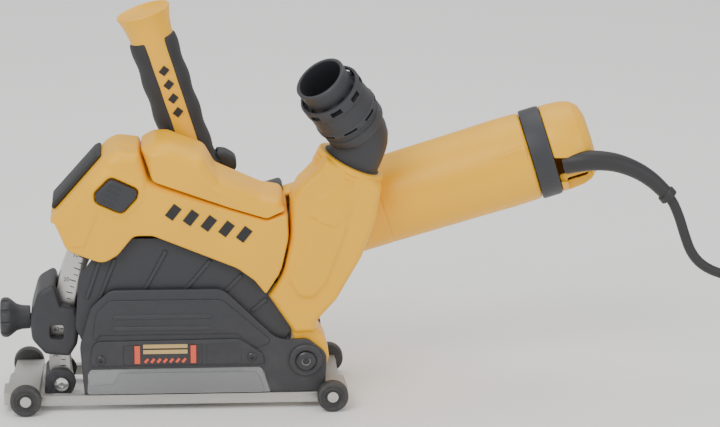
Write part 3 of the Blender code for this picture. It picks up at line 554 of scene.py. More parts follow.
def stone_dust_group():
    group, nodes, links, given, out = new_group(
        "stone_dust", [("Amount", 0.2), ("Height", 0.12)], ["Mask"]
    )
    where = nodes.new("ShaderNodeTexCoord")
    split = nodes.new("ShaderNodeSeparateXYZ")
    links.new(where.outputs["Object"], split.inputs[0])
    shape = nodes.new("ShaderNodeNewGeometry")
    facing = nodes.new("ShaderNodeSeparateXYZ")
    links.new(shape.outputs["Normal"], facing.inputs[0])
    specks = nodes.new("ShaderNodeTexNoise")
    specks.inputs["Scale"].default_value = 130
    specks.inputs["Detail"].default_value = 6
    links.new(where.outputs["Object"], specks.inputs["Vector"])
    low = math_node(nodes, links, "DIVIDE", split.outputs["Z"], given.outputs["Height"])
    low = math_node(nodes, links, "SUBTRACT", 1.0, low)
    up = math_node(nodes, links, "MULTIPLY", facing.outputs["Z"], 0.6)
    both = math_node(nodes, links, "MAXIMUM", math_node(nodes, links, "ADD", low, up), 0.0)
    both = math_node(nodes, links, "MULTIPLY", both, math_node(nodes, links, "POWER", specks.outputs["Fac"], 2.0))
    dusty = math_node(nodes, links, "MULTIPLY", both, given.outputs["Amount"])
    links.new(math_node(nodes, links, "MINIMUM", dusty, 0.6), out.inputs[0])
    return group


GRAIN = fine_grain_group()
WEAR = worn_edges_group()
DUST = stone_dust_group()

# %% [markdown]
# Every finish of the tool is one recipe with its own values: two close tones that the grain's slow cloud
# mixes, a wear colour on the edges, dust, and a bump from the fine grain. Metals turn `metallic` up and
# set their own grain scale. Values that don't change over the surface sit on the shader itself.

# %% Finishes
def finish(name, colour, rough, metallic=0.0, bump=0.1, scale=900.0, worn=0.3, dust=0.1, coat=0.0, bare=None):
    made = bpy.data.materials.new(name)
    made.use_nodes = True
    nodes, links = made.node_tree.nodes, made.node_tree.links
    shader = nodes["Principled BSDF"]
    shader.inputs["Metallic"].default_value = metallic
    shader.inputs["Coat Weight"].default_value = coat
    shader.inputs["Coat Roughness"].default_value = 0.25

    def effect(group, **values):
        node = nodes.new("ShaderNodeGroup")
        node.node_tree = group
        for label, value in values.items():
            node.inputs[label.replace("_", " ")].default_value = value
        return node

    def blend_of(factor, first, second):
        mix = nodes.new("ShaderNodeMix")
        mix.data_type = "RGBA"
        links.new(factor, mix.inputs["Factor"])
        for socket, value in ((mix.inputs["A"], first), (mix.inputs["B"], second)):
            if isinstance(value, tuple):
                socket.default_value = (*value, 1)
            else:
                links.new(value, socket)
        return mix.outputs["Result"]

    grain = effect(GRAIN, Scale=scale, Cloud_Scale=14.0)
    wear = effect(WEAR, Amount=worn, Patch_Scale=60.0)
    powder = effect(DUST, Amount=dust, Height=0.10)
    darker = tuple(0.88 * c for c in colour)
    rubbed = bare or tuple(min(1.0, c * 1.5 + 0.02) for c in colour)
    tone = blend_of(grain.outputs["Cloud"], darker, tuple(min(1.0, 1.10 * c) for c in colour))
    tone = blend_of(wear.outputs["Mask"], tone, rubbed)
    tone = blend_of(powder.outputs["Mask"], tone, (0.62, 0.58, 0.52))
    links.new(tone, shader.inputs["Base Color"])
    spread = math_node(nodes, links, "MULTIPLY_ADD", grain.outputs["Cloud"], 0.16, rough - 0.08)
    links.new(math_node(nodes, links, "ADD", spread, powder.outputs["Mask"]), shader.inputs["Roughness"])
    relief = nodes.new("ShaderNodeBump")
    relief.inputs["Strength"].default_value = bump
    relief.inputs["Distance"].default_value = 0.0004
    links.new(grain.outputs["Height"], relief.inputs["Height"])
    links.new(relief.outputs["Normal"], shader.inputs["Normal"])
    return made


YELLOW = finish("yellow_moulding", (0.97, 0.47, 0.002), 0.42, bump=0.10, worn=0.04, dust=0.01)
CHARCOAL = finish("charcoal_moulding", (0.030, 0.031, 0.036), 0.52, bump=0.22, scale=700, worn=0.5, dust=0.07)
GRIP = finish("grip_rubber", (0.026, 0.027, 0.030), 0.68, bump=0.3, scale=500, worn=0.2, dust=0.05)
CAST = finish("cast_base", (0.50, 0.49, 0.46), 0.46, 0.85, bump=0.25, scale=420, worn=0.5, dust=0.15)
ZINC = finish("zinc_plate", (0.56, 0.55, 0.53), 0.34, 0.9, bump=0.06, scale=300, worn=0.2, dust=0.10)
BOLT = finish("bright_bolt", (0.72, 0.72, 0.72), 0.24, 1.0, bump=0.05, scale=300, worn=0.2, dust=0.0)
BLACK_STEEL = finish("black_steel", (0.06, 0.06, 0.065), 0.40, 0.9, bump=0.1, scale=300, worn=0.6, dust=0.05)
COPPER = finish("copper_bars", (0.62, 0.28, 0.14), 0.36, 1.0, bump=0.08, scale=300, worn=0.3, dust=0.0)
TYRE = finish("wheel_rubber_black", (0.030, 0.030, 0.032), 0.62, bump=0.25, scale=420, worn=0.4, dust=0.12)
CABLE = finish("cable_sheath", (0.022, 0.022, 0.024), 0.50, bump=0.15, scale=650, worn=0.1, dust=0.03)
DISC = finish("disc_steel", (0.45, 0.45, 0.45), 0.30, 1.0, bump=0.1, scale=300, worn=0.3, dust=0.1)
DIAMOND = finish("diamond_segment", (0.34, 0.31, 0.27), 0.78, 0.5, bump=0.9, scale=1500, worn=0.2, dust=0.3)
INK = finish("printed_ink", (0.012, 0.012, 0.013), 0.5, bump=0.05, worn=0.05, dust=0.0)
LABEL_RED = finish("label_red", (0.78, 0.10, 0.045), 0.42, bump=0.03, worn=0.05, dust=0.0)
LABEL_CREAM = finish("label_cream", (0.55, 0.38, 0.14), 0.42, bump=0.03, worn=0.05, dust=0.0)


def clear_finish():
    made = finish("clear_pane", (0.40, 0.41, 0.42), 0.16, bump=0.05, scale=200, worn=0.5, dust=0.15)
    shader = made.node_tree.nodes["Principled BSDF"]
    shader.inputs["Transmission Weight"].default_value = 0.55
    shader.inputs["IOR"].default_value = 1.45
    return made


CLEAR = clear_finish()
FINISH_OF = {
    "moulded_yellow": YELLOW,
    "charcoal_plastic": CHARCOAL,
    "soft_grip": GRIP,
    "cast_aluminium": CAST,
    "bright_steel": ZINC,
    "dark_steel": BLACK_STEEL,
    "copper_winding": COPPER,
    "clear_window": CLEAR,
    "wheel_rubber": TYRE,
    "cable_rubber": CABLE,
    "diamond_rim": DISC,
}
SLOT_OF = {made: label for label, made in FINISH_OF.items()}
SLOT_OF |= {BOLT: "bright_steel", DIAMOND: "diamond_rim", INK: "charcoal_plastic"}
SLOT_OF |= {LABEL_RED: "moulded_yellow", LABEL_CREAM: "moulded_yellow"}


def dress(obj, made, body, *nodes):
    """Gives a piece its finish and body, and hides the frame's pieces that it stands for."""
    obj.data.materials.clear()
    obj.data.materials.append(made)
    if nodes:
        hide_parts(*nodes)
    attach(obj, body)
    return obj


for sub in frame["record"]["subparts"]:
    held = frame["nodes"][sub["node"]]
    if not held.material_slots:
        held.data.materials.append(FINISH_OF[sub["material_slot"]])
    for entry in held.material_slots:
        entry.material = FINISH_OF[sub["material_slot"]]
power_lead.data.materials.append(CABLE)
make_studio()
print(len(FINISH_OF), "finishes")

# %% [markdown]
# The nose of the tool is one large moulding that covers both discs. Its near side carries a raised lip along
# the opening, a soft pad round the latch, and a broad round where the side meets the top. It is built from
# an outline whose upper points are drawn in more than its lower ones, and melted into one skin.

# %% The covers of the head
NOSE_TOP = [(-94, 146, 4), (-97, 153, 3), (-53, 204, 8), (-45, 208, 6), (-28.5, 206, 3)]
PARTING = [(-20.5, 184, 7), (40, 162), (68, 153, 5), (84, 159, 3)]
NOSE_REAR = [(85, 138, 20), (79, 111, 20), (67, 92, 2)]
NOSE_LIP = [
    (58, 104, 10), (45, 114, 14), (-19, 141, 10), (-33, 141, 8), (-45, 126, 9), (-57, 119, 12), (-85, 130, 12),
]
FAR_LIP = [(-24, 60, 2), (-58, 60, 6), (-64, 90, 10), (-62, 112), (-69, 123), (-85, 130, 12)]
OPEN_BELOW = [(75, 20), (-120, 20), (-120, 146)]
LATCH = [(-50, 189, 4), (-29.5, 179, 4), (-31, 173, 4), (-42, 161, 4), (-61.5, 170, 4), (-62, 177, 4)]
NEAR_FACE = -38.4
SPLIT = -13.6


def side_face(corners, upper_bite, lower_bite, depth):
    """A body whose upper edge is rounded broadly and whose lower edge is rounded finely."""
    bites = [upper_bite if z > 142 and (x < 0 or z > 170) else lower_bite for x, z, *_ in corners]
    steps = ((0.0, 1.0), (0.1, 0.62), (0.3, 0.3), (0.62, 0.08), (1.0, 0.0))
    levels = [(NEAR_FACE + depth * down, [bite * share for bite in bites]) for down, share in steps]
    return prism(corners, *levels, (SPLIT, 0))


def lip_band(width=10.0):
    line = rounded(NOSE_LIP + [(-92, 141, 3)])
    line = [p for p in line if p[0] > -92]
    upper = []
    for i, point in enumerate(line):
        ahead = Vector(line[min(i + 1, len(line) - 1)]) - Vector(line[max(i - 1, 0)])
        out = Vector((ahead.y, -ahead.x)).normalized()
        upper.append(tuple(Vector(point) + out * width))
    return loft([[(x, y, z) for x, z in line + upper[::-1]] for y in (-39.9, -30.0)])


def lower_cheek():
    """The shallow facet between the latch and the lip."""
    return prism([(-86, 133, 3), (-66, 168, 3), (-58, 162, 3), (-70, 132, 4)], (-39.6, 2.5), (-37, 0), (-30, 0))


latch_pad = prism(LATCH, (-39.9, -3.0), (-38.8, -6.0), (-30, -8.0))
hollow = prism(inset(NOSE_TOP[1:] + PARTING + NOSE_REAR[:2] + OPEN_BELOW, 3.0), (-35.4, 0), (0, 0))
latch_hole = prism(LATCH, (-50, -0.8), (-34.5, -0.8))
inlet = slab((66, -31, 100), (104, -10, 128))
nose = mould(
    "nose_cover",
    [side_face(NOSE_TOP + PARTING + NOSE_REAR + NOSE_LIP, 7.0, 1.4, 11.0), lip_band(), lower_cheek(), latch_pad],
    [hollow, latch_hole, inlet],
    cell=0.85,
    melt=7,
)
dress(nose, YELLOW, "head", "near_cover")

SPINDLE = Vector((3.5, 0, 82))
MOTOR_TILT = math.radians(17)
MOTOR_FOOT = Vector((3.5, 30, 98.5))
MOTOR_WAY = Vector((math.cos(MOTOR_TILT), 0, math.sin(MOTOR_TILT)))
HANDLE_FOOT = Vector((15, 30, 175))
HANDLE_WAY = Vector((-math.sin(math.radians(17.3)), 0, math.cos(math.radians(17.3))))
far_body = soft_prism(NOSE_TOP + PARTING + NOSE_REAR[:2] + FAR_LIP, SPLIT + 0.35, 17.0, 3.0)
far_cuts = [
    prism(inset(NOSE_TOP[1:] + PARTING + NOSE_REAR[:2] + OPEN_BELOW, 3.0), (-23, 0), (14, 0)),
    rod(SPINDLE, ACROSS, 8, 60, 38.8),
    rod(MOTOR_FOOT, MOTOR_WAY, -4, 130, 19.8),
    rod(HANDLE_FOOT, HANDLE_WAY, -8, 160, 23.2),
    slab((36, -20, 0), (100, 30, 124)),
]
far_shell = mould("far_nose_cover", [far_body], far_cuts, cell=1.1, melt=4)
dress(far_shell, YELLOW, "head", "far_cover")

HUMP_TOP = [(-27.5, 207.5, 3), (-17, 213, 6), (-6, 213, 9), (21, 202, 9), (29, 187, 6), (64, 171, 12), (80, 168, 8)]
HUMP_LOW = [(82, 160.5), (68, 154, 5), (40, 163), (-19.5, 185, 6)]
HUMP = HUMP_TOP + HUMP_LOW


def hump_level(y, bite):
    return (y, [bite if i < len(HUMP_TOP) else 0.15 for i in range(len(HUMP))])


levels = ((-38.0, 9), (-36.6, 6), (-33, 3.2), (-27, 1.0), (-21, 0), (8, 0), (11.5, 3))
hump_body = prism(HUMP, *(hump_level(*level) for level in levels))
ridge = prism([(20, 203, 6), (31, 186, 4), (44, 166, 2), (16, 174, 2), (4, 205, 8)], (-38.9, 8), (-34, 2), (-20, 0))
hump_hollow = prism(inset(HUMP_TOP + [(90, 120), (-20, 120)], 5.0), (-31, 0), (8.5, 0))
handle_room = rod(HANDLE_FOOT, HANDLE_WAY, -8, 160, 23.2)
hump = mould("hump", [hump_body, ridge], [hump_hollow, handle_room], cell=0.85, melt=8)
dress(hump, YELLOW, "head", "hump_cover")

# %% [markdown]
# Behind the nose a duct takes the dust up to the socket. Its side has a long flat facet with a soft border,
# and the socket is ringed by two thin grooves, turned separately so that they stay crisp. The lower end of
# the duct is the near arm that swings on the pivot.

# %% The dust duct and its socket
DUCT = [
    (68.2, 91.2, 1), (88, 60.5, 2), (105, 61, 2), (107, 70, 5), (122, 87, 12), (141, 121, 20), (152, 152, 20),
    (156, 176, 3), (150, 184, 2), (113, 202, 2), (107, 193, 8), (92, 179, 6), (86.5, 168, 6), (85.7, 138, 20),
    (79.8, 111, 20),
]
ARM = [
    (84, 72), (88, 56, 6), (86, 40, 10), (92, 28, 8), (111, 26, 3), (116, 40, 8), (112, 55, 10), (105, 66),
    (104, 80), (88, 80),
]
FACET = [
    (107, 160, 4), (130, 150, 5), (127, 139, 8), (114, 103, 10), (103, 90, 8), (91, 92, 6), (84, 106, 6),
    (93, 128, 12),
]
SOCKET = Vector((133.5, -12, 192))
SOCKET_WAY = Vector((math.sin(math.radians(26)), 0, math.cos(math.radians(26))))
duct_body = prism(DUCT, (-38.6, 5), (-37.9, 3.2), (-35.5, 1.4), (-31, 0.4), (-26, 0), (-7, 0), (-5, 0.8))
blister = prism(FACET, (-41.2, 2.5), (-39.6, 0.2), (-30, -4.5))
arm_body = soft_prism(ARM, -32.4, -5.0, 2.0)
collar = turned(
    [(0, -46), (31, -46), (30.5, -30), (28.5, -20), (26.2, -13), (25.9, -1), (25, 0), (0, 0)], SOCKET, SOCKET_WAY
)
duct_cuts = [
    rod(SOCKET, SOCKET_WAY, -16, 10, 22.0),
    rod((126, -19, 176), Vector((-26, -2, -62)), -6, 66, 12.0),
    slab((60, -31, 100), (104, -10, 128)),
    rod(SPINDLE, ACROSS, -27.0, 8.0, 77.0, 96),
    rod(MOTOR_FOOT, MOTOR_WAY, 40, 300, 34.7),
    rod((97.5, 0, 39.5), ACROSS, -60, 0, 5.4),
]
duct = mould("dust_duct", [duct_body, blister, arm_body, collar], duct_cuts, cell=0.85, melt=8)
dress(duct, YELLOW, "head", "head_shell")
grooved = [
    (22.1, -14), (26.4, -14), (27.3, -12.6), (27.3, -9.4), (26.5, -9.0), (26.5, -8.2), (27.3, -7.8), (27.3, -4.9),
    (26.5, -4.5), (26.5, -3.8), (27.3, -3.4), (27.2, -0.4), (26.4, 0.4), (22.4, 0.4), (22.1, 0),
]
dress(new_piece("socket_rim", turned(grooved, SOCKET, SOCKET_WAY, 96), 40), YELLOW, "head")

# %% [markdown]
# The motor barrel is a long tube of 68 mm. A seam goes round it where the gear neck's shroud ends, a flat
# hand panel is pressed into its near side, and a scoop is cut in above the tail. The panel is moulded as a
# piece of its own over the tube, and the scoop is cut from the tail cap before it is melted.

# %% The motor barrel and its tail
def on_motor(along, side, up):
    """A point beside the motor's axis: along it, towards +Y, and away from the floor."""
    above = Vector((-MOTOR_WAY.z, 0, MOTOR_WAY.x))
    return MOTOR_FOOT + MOTOR_WAY * along + ACROSS * side + above * up


def motor_block(along, side, up, bite=0.0):
    """A block set along the motor's axis, from three (low, high) pairs."""
    ends = []
    for a in along:
        ring = [(side[0], up[0]), (side[1], up[0]), (side[1], up[1]), (side[0], up[1])]
        ends.append([on_motor(a, s, u) for s, u in inset(ring, bite if a == along[0] else 0.0)])
    return loft(ends)


barrel = turned(
    [
        (31.5, 50), (33.9, 50), (33.9, 162.3), (33.1, 162.9), (33.1, 163.6), (33.9, 164.2), (34.2, 200), (34.6, 240),
        (35.0, 262), (34.6, 281), (33.4, 284), (31.5, 284),
    ],
    MOTOR_FOOT, MOTOR_WAY, 128,
)
panel = motor_block((196, 274), (-34.6, -26), (-15, 14), 7.0)
ramp = motor_block((236, 282), (-33.9, -12), (0, 19), 4.0)
belly = motor_block((232, 281), (-15, 15), (-35.2, -30), 5.0)
barrel_cuts = [
    rod(MOTOR_FOOT, MOTOR_WAY, 45, 290, 31.5),
    slab((-20, -30, 0), (93.5, 18.2, 260)),
]
motor_shell = mould("motor_barrel", [barrel], barrel_cuts, cell=0.8, melt=2)
dress(motor_shell, YELLOW, "head", "motor_housing")
barrel_room = rod(MOTOR_FOOT, MOTOR_WAY, 100, 300, 32.5)
grip_panel = mould("barrel_panels", [panel, ramp, belly], [barrel_room], cell=0.8, melt=10)
dress(grip_panel, YELLOW, "head")
band = [
    (27, 284.4), (35.2, 284.4), (35.6, 286), (35.6, 297.5), (35.0, 300.1), (27, 300.1),
]
tail_band = new_piece("tail_seal", turned(band, MOTOR_FOOT, MOTOR_WAY, 96))
dress(tail_band, CHARCOAL, "head", "tail_band")
cap = [
    (27.5, 300.5), (34.4, 300.5), (34.6, 306), (33.6, 318), (31.2, 325), (26.5, 330), (18, 332.6), (0, 333.4),
    (0, 329.5), (21, 328.5), (27.5, 322),
]
cap_cuts = [slab((290, -26, 168), (350, 6, 189)), motor_block((306, 326), (-30, -14), (-40, -19))]
tail = mould("tail_dome", [turned(cap, MOTOR_FOOT, MOTOR_WAY, 96)], cap_cuts, cell=0.8, melt=3)
dress(tail, YELLOW, "head", "tail_cap")

# %% [markdown]
# The skirt is a pressed plastic guard, fixed to the base. It has a rounded border, a raised plate with two
# long ribs, a lower plate that holds the label and the screws, and a ring round the pivot. Each level is a
# prism with soft edges, laid on the one below, as a pattern maker would stack card.

# %% The near skirt and its window
SKIRT = [
    (-73, 13.4), (-76, 53, 12), (-67, 84, 10), (-52, 98, 11), (34, 98, 14), (76, 56, 16), (99, 56.5, 9),
    (114, 44, 11), (112, 13.4, 2),
]
WINDOW = [(-71, 13.1), (-70, 34.5, 4), (64, 35, 5), (71, 13.1)]
UPPER_PLATE = [(-66, 56, 2), (-63, 80, 8), (-53, 90, 9), (33, 90, 12), (72, 55, 3), (60, 50), (44, 62, 3), (-60, 62, 3)]
LOWER_PLATE = [(-68, 37, 2), (-66, 57, 7), (46, 58, 5), (64, 46, 3), (66, 37, 2)]


def skirt_body():
    frame_sheet = soft_prism(SKIRT, -36.4, -33.0, 1.2)
    return frame_sheet


def with_hole(name, body, *holes):
    obj = new_piece(name, body, 0)
    cutters = [new_piece(f"{name}_hole", hole, 0) for hole in holes]
    for cutter in cutters:
        step = obj.modifiers.new("cut", "BOOLEAN")
        step.operation = "DIFFERENCE"
        step.object = cutter
    made = settled(obj, name)
    for cutter in cutters:
        bpy.data.objects.remove(cutter)
    made.data.shade_smooth()
    made.data.set_sharp_from_angle(angle=math.radians(35))
    return made


window_hole = prism(WINDOW, (-60, 0.3), (-20, 0.3))
skirt = with_hole("skirt_sheet", skirt_body(), window_hole, rod((97.5, 0, 39.5), ACROSS, -60, -20, 5.4))
dress(skirt, CHARCOAL, "base", "near_skirt")
recess = soft_prism([(-43, 37.5, 2), (-43, 54.5, 2), (18.5, 54.5, 2), (18.5, 37.5, 2)], -45, -37.4, 0.3)
recess_b = soft_prism([(20.5, 37.5, 2), (20.5, 54.5, 2), (48, 54.5, 2), (48, 37.5, 2)], -45, -37.6, 0.3)
lower = with_hole("skirt_lower_plate", soft_prism(LOWER_PLATE, -38.2, -36.0, 0.9), recess, recess_b)
dress(lower, CHARCOAL, "base")
upper = new_piece("skirt_upper_plate", soft_prism(UPPER_PLATE, -37.5, -36.0, 0.8))
dress(upper, CHARCOAL, "base")
PIVOT = Vector((97.5, 0, 39.5))
boss_shape = [(6, -36), (13, -36), (12.7, -38.2), (11.9, -38.8), (8.4, -38.8), (8.2, -38.2), (6, -38.2)]
boss = turned(boss_shape, PIVOT, ACROSS, 96)
dress(new_piece("pivot_boss", boss), CHARCOAL, "base")
pin_shape = [(0, -38.0), (7.6, -38.0), (7.6, -40.6), (6.6, -41.5), (3.3, -41.5), (3.0, -39.6), (0, -39.4)]
pin_head = turned(pin_shape, PIVOT, ACROSS, 64)
dress(new_piece("pivot_pin_head", pin_head), BLACK_STEEL, "base")
dress(soften("pivot_pin", 0.2), ZINC, "base")

pane = soft_prism(inset(WINDOW, 0.6), -37.1, -33.4, 0.8)
dress(new_piece("window_pane", pane), CLEAR, "base", "near_window")
STEP = [(-69, 14, 2), (-68, 21, 3), (-50, 22, 3), (-46, 31, 3), (60, 31, 3), (66, 14, 2)]
pane_step = soft_prism(STEP, -37.9, -37.0, 0.4)
dress(new_piece("window_thick_part", pane_step), CLEAR, "base")

# %% [markdown]
# Ribs that repeat are a job for Geometry Nodes. One small tree lays copies of a rounded bar along a row,
# with their number, spacing, length and size as named inputs. The same tree makes the long skirt ribs, the
# hatching of the label and the badge's bars, and it ends by realising the copies and giving them a finish.

# %% A tree for rows of bars
def start_tree(name, **inputs):
    """A tree whose named inputs are of the given kinds. It returns the tree, its inputs and its output."""
    tree = bpy.data.node_groups.new(name, "GeometryNodeTree")
    for label, kind in inputs.items():
        tree.interface.new_socket(label, in_out="INPUT", socket_type="NodeSocket" + kind)
    tree.interface.new_socket("Geometry", in_out="OUTPUT", socket_type="NodeSocketGeometry")
    return tree, tree.nodes.new("NodeGroupInput"), tree.nodes.new("NodeGroupOutput")


def bars_on(tree, points, rotation, given, out):
    """Ends a tree: a bar on each point, turned, realised and given its finish."""
    nodes, links = tree.nodes, tree.links
    bar = nodes.new("GeometryNodeMeshCube")
    links.new(given.outputs["Bar"], bar.inputs["Size"])
    copies = nodes.new("GeometryNodeInstanceOnPoints")
    links.new(points, copies.inputs["Points"])
    links.new(bar.outputs["Mesh"], copies.inputs["Instance"])
    links.new(rotation, copies.inputs["Rotation"])
    real = nodes.new("GeometryNodeRealizeInstances")
    links.new(copies.outputs["Instances"], real.inputs[0])
    paint = nodes.new("GeometryNodeSetMaterial")
    links.new(real.outputs[0], paint.inputs["Geometry"])
    links.new(given.outputs["Finish"], paint.inputs["Material"])
    links.new(paint.outputs[0], out.inputs[0])


def row_tree():
    tree, given, out = start_tree(
        "row_of_bars", Count="Int", Step="Vector", Lean="Vector", Bar="Vector", Finish="Material", Start="Vector"
    )
    line = tree.nodes.new("GeometryNodeMeshLine")
    for label, socket in (("Count", "Count"), ("Step", "Offset"), ("Start", "Start Location")):
        tree.links.new(given.outputs[label], line.inputs[socket])
    bars_on(tree, line.outputs["Mesh"], given.outputs["Lean"], given, out)
    return tree


ROW = row_tree()


def grown(name, tree, edge, **values):
    """The mesh that a tree grows, with its bars' edges bevelled."""
    seed = bpy.data.objects.new(name, bpy.data.meshes.new(name))
    bpy.context.scene.collection.objects.link(seed)
    grow = seed.modifiers.new("grow", "NODES")
    grow.node_group = tree
    for item in tree.interface.items_tree:
        if item.in_out == "INPUT" and item.name in values:
            grow[item.identifier] = values[item.name]
    if edge:
        bevel = seed.modifiers.new("bevel", "BEVEL")
        bevel.width = edge * MM
        bevel.segments = 3
    grown_piece = settled(seed, name)
    grown_piece.data.shade_smooth()
    grown_piece.data.set_sharp_from_angle(angle=math.radians(50))
    print(f"{name}: {len(grown_piece.data.polygons)} faces")
    return grown_piece


def bars(name, made, body, start, step, count, size, lean=0.0, edge=0.4):
    """A row of bars from a start point, all in millimetres from HOME."""
    row = grown(
        name, ROW, edge, Count=count, Step=[v * MM for v in step], Start=list(place(*start)),
        Bar=[v * MM for v in size], Lean=[0.0, lean, 0.0], Finish=made,
    )
    return dress(row, made, body)


bars("skirt_ribs", CHARCOAL, "base", (-12.5, -37.4, 67.2), (0, 0, 9.4), 2, (76, 1.5, 3.6), edge=0.7)
bars("badge_bars", INK, "head", (-3, -38.75, 161), (13.4, 0, -4.6), 5, (7.2, 0.5, 11.5), math.radians(38), 0.0)
bars("label_ends", LABEL_RED, "base", (-32, -37.7, 46), (43, 0, 0), 2, (4.2, 0.5, 14.5), edge=0.0)
bars("label_field", LABEL_CREAM, "base", (-10.5, -37.65, 48.2), (0, 0, 4.6), 2, (34, 0.4, 3.2), edge=0.0)
bars("label_hatch", LABEL_RED, "base", (-25, -37.65, 41), (4.8, 0, 0), 7, (2.0, 0.4, 4.0), math.radians(40), 0.0)


def guard_rib(name, low, high):
    """One leaning rib on the inner guard."""
    a, b = Vector(low), Vector(high)
    middle, lean = (a + b) / 2, math.atan2((b - a).x, (b - a).y)
    bars(name, CHARCOAL, "head", (middle.x, -31.6, middle.y), (0, 0, 0), 1, (3.0, 1.8, (b - a).length), lean, 0.8)


for k, ends in enumerate((((-28, 92), (-9, 128)), ((2, 92), (25, 120)), ((33, 91), (49, 108)), ((56, 78), (68, 88)))):
    guard_rib(f"guard_rib_{k}", *ends)
for k, ends in enumerate((((-60, 90), (-48, 122)), ((-70, 90), (-60, 120)))):
    guard_rib(f"guard_flute_{k}", *ends)

# %% [markdown]
# The base is a light casting, and its rails carry four small rollers on steel axles. The frame's own shapes
# are right here, so they are only softened with a fine bevel. The wheels are turned again with a groove on
# their face and a screw in the hub.

# %% The base, wheels and screws
dress(soften("base_frame", 0.6), CAST, "base")
dress(soften("arc_foot", 0.8), CHARCOAL, "base")
dress(soften("far_skirt", 0.5), CHARCOAL, "base")
dress(soften("front_pad", 1.2), GRIP, "head")
dress(soften("switch_slider", 1.0), CHARCOAL, "switch")
dress(soften("gear_case", 0.8), CAST, "head")
for end, x in (("front", -118), ("rear", 118)):
    for side, sign in (("near", -1), ("far", 1)):
        tread = [
            (2.85, 38.5), (10.6, 38.5), (11.6, 39), (12, 40), (12, 46), (11.6, 47), (10.4, 47.5), (9.0, 47.5),
            (8.6, 46.9), (7.6, 46.9), (7.2, 47.3), (6.6, 47.3), (6.3, 46.0), (2.85, 46.0),
        ]
        wheel = new_piece(f"{end}_roller_{side}", turned(tread, (x, 0, 12), ACROSS * sign, 64))
        dress(wheel, TYRE, f"{end}_wheel_{side}", f"{end}_wheel_{side}")
        hub_shape = [(0, 45.8), (4.2, 45.8), (4.2, 46.7), (3.2, 47.3), (1.5, 47.3), (1.3, 46.3), (0, 46.3)]
        hub = turned(hub_shape, (x, 0, 12), ACROSS * sign, 6)
        dress(new_piece(f"{end}_hub_screw_{side}", hub), ZINC, f"{end}_wheel_{side}")
for name, x, z in (("front", -60, 42), ("rear", 56, 43)):
    head_shape = [(0, -38.0), (3.6, -38.0), (3.6, -38.9), (2.9, -39.4), (1.5, -39.4), (1.3, -38.5), (0, -38.5)]
    head = turned(head_shape, (x, 0, z), ACROSS, 48)
    dress(new_piece(f"skirt_screw_head_{name}", head), BLACK_STEEL, "base", f"skirt_screw_{name}")

# %% [markdown]
# The handle is one yellow moulding, flared and dished at its end, with a black grip moulded over it. The
# grip leaves a stripe open towards the user's side and bulges four times for the fingers. Both are lofts
# round the leaning axis, where each ring's radius is a formula of its height and its angle.

# %% The side handle
HANDLE_LONG = 132.0


def around_handle(radius_at, low, high, rings=60, sides=72):
    """A closed skin round the handle's axis. radius_at(height, angle) gives its radius."""
    bm = bmesh.new()
    made = []
    for k in range(rings + 1):
        up = low + (high - low) * k / rings
        ring = []
        for n in range(sides):
            angle = 2 * math.pi * n / sides
            r = radius_at(up, angle)
            ring.append(bm.verts.new((r * math.cos(angle), r * math.sin(angle), up)))
        made.append(ring)
    for a, b in zip(made, made[1:]):
        for n in range(sides):
            bm.faces.new((a[n], a[(n + 1) % sides], b[(n + 1) % sides], b[n]))
    bm.faces.new(made[0])
    bm.faces.new(made[-1])
    turn = Vector((0, 0, 1)).rotation_difference(HANDLE_WAY)
    bm.transform(Matrix.Translation(HANDLE_FOOT) @ turn.to_matrix().to_4x4())
    bmesh.ops.recalc_face_normals(bm, faces=bm.faces)
    return bm


def grip_radius(up, angle):
    facing = abs((angle - math.radians(-82) + math.pi) % (2 * math.pi) - math.pi)
    wave = 0.55 * math.sin(2 * math.pi * (up - 14) / 27.0) * min(1.0, abs(math.cos(angle)) * 1.3)
    ends = min(1.0, max(0.0, up - 9) / 3, max(0.0, HANDLE_LONG - 21 - up) / 3)
    foot = 3.5 * max(0.0, 1 - max(0.0, up - 1) / 9)
    half_open = math.radians(26 if up > 22 else 0)
    over = min(1.0, max(0.0, facing - half_open) / math.radians(5))
    lift = (1.9 + wave) * over if up > 12 else 1.9
    return 16.3 + lift * (ends if up > 12 else 1.0) + foot


core = turned(
    [
        (0, 2), (16.4, 2), (16.6, 100), (16.9, 112), (18.2, 121), (20.4, 129), (21.2, 131.2), (20.6, 132),
        (18.8, 131.4), (16.5, 129.5), (0, 128.8),
    ],
    HANDLE_FOOT, HANDLE_WAY, 96,
)
dress(new_piece("handle_body", core, 50), YELLOW, "head", "handle_core")
grip = around_handle(grip_radius, 1, HANDLE_LONG - 20, 110, 96)
dress(new_piece("handle_sleeve", grip, 50), GRIP, "head", "handle_grip")
flange = soft_prism([(30, 190, 3), (27, 176, 3), (38, 170, 5), (47, 175, 5), (46, 184, 6), (38, 189, 4)], 22, 40, 3)
dress(mould("handle_flange", [flange], [rod(HANDLE_FOOT, HANDLE_WAY, -20, 60, 20.0)], 1.0, 6), GRIP, "head")
for k in range(4):
    spot = HANDLE_FOOT + HANDLE_WAY * (52 + 11.5 * k)
    first = (spot.x + 2.2, spot.y - 16.7, spot.z)
    bars(f"handle_mark_{k}", INK, "head", first, (0, 0, 0), 1, (6.5, 0.6, 5.5), math.radians(-52), 0.0)

# %% [markdown]
# The dust port is an elbow that turns in the socket. Its pipe carries a collar with small windows and lugs,
# which locks the hose. The elbow swells on its outside like a moulded bend, so it is one tube whose radius
# grows and shrinks along a smooth line; its bore is left open, because one looks straight into it.

# %% The dust port
PORT_WAY = Vector((-0.517, -0.348, 0.778)).normalized()
BEND = SOCKET + SOCKET_WAY * 21.7


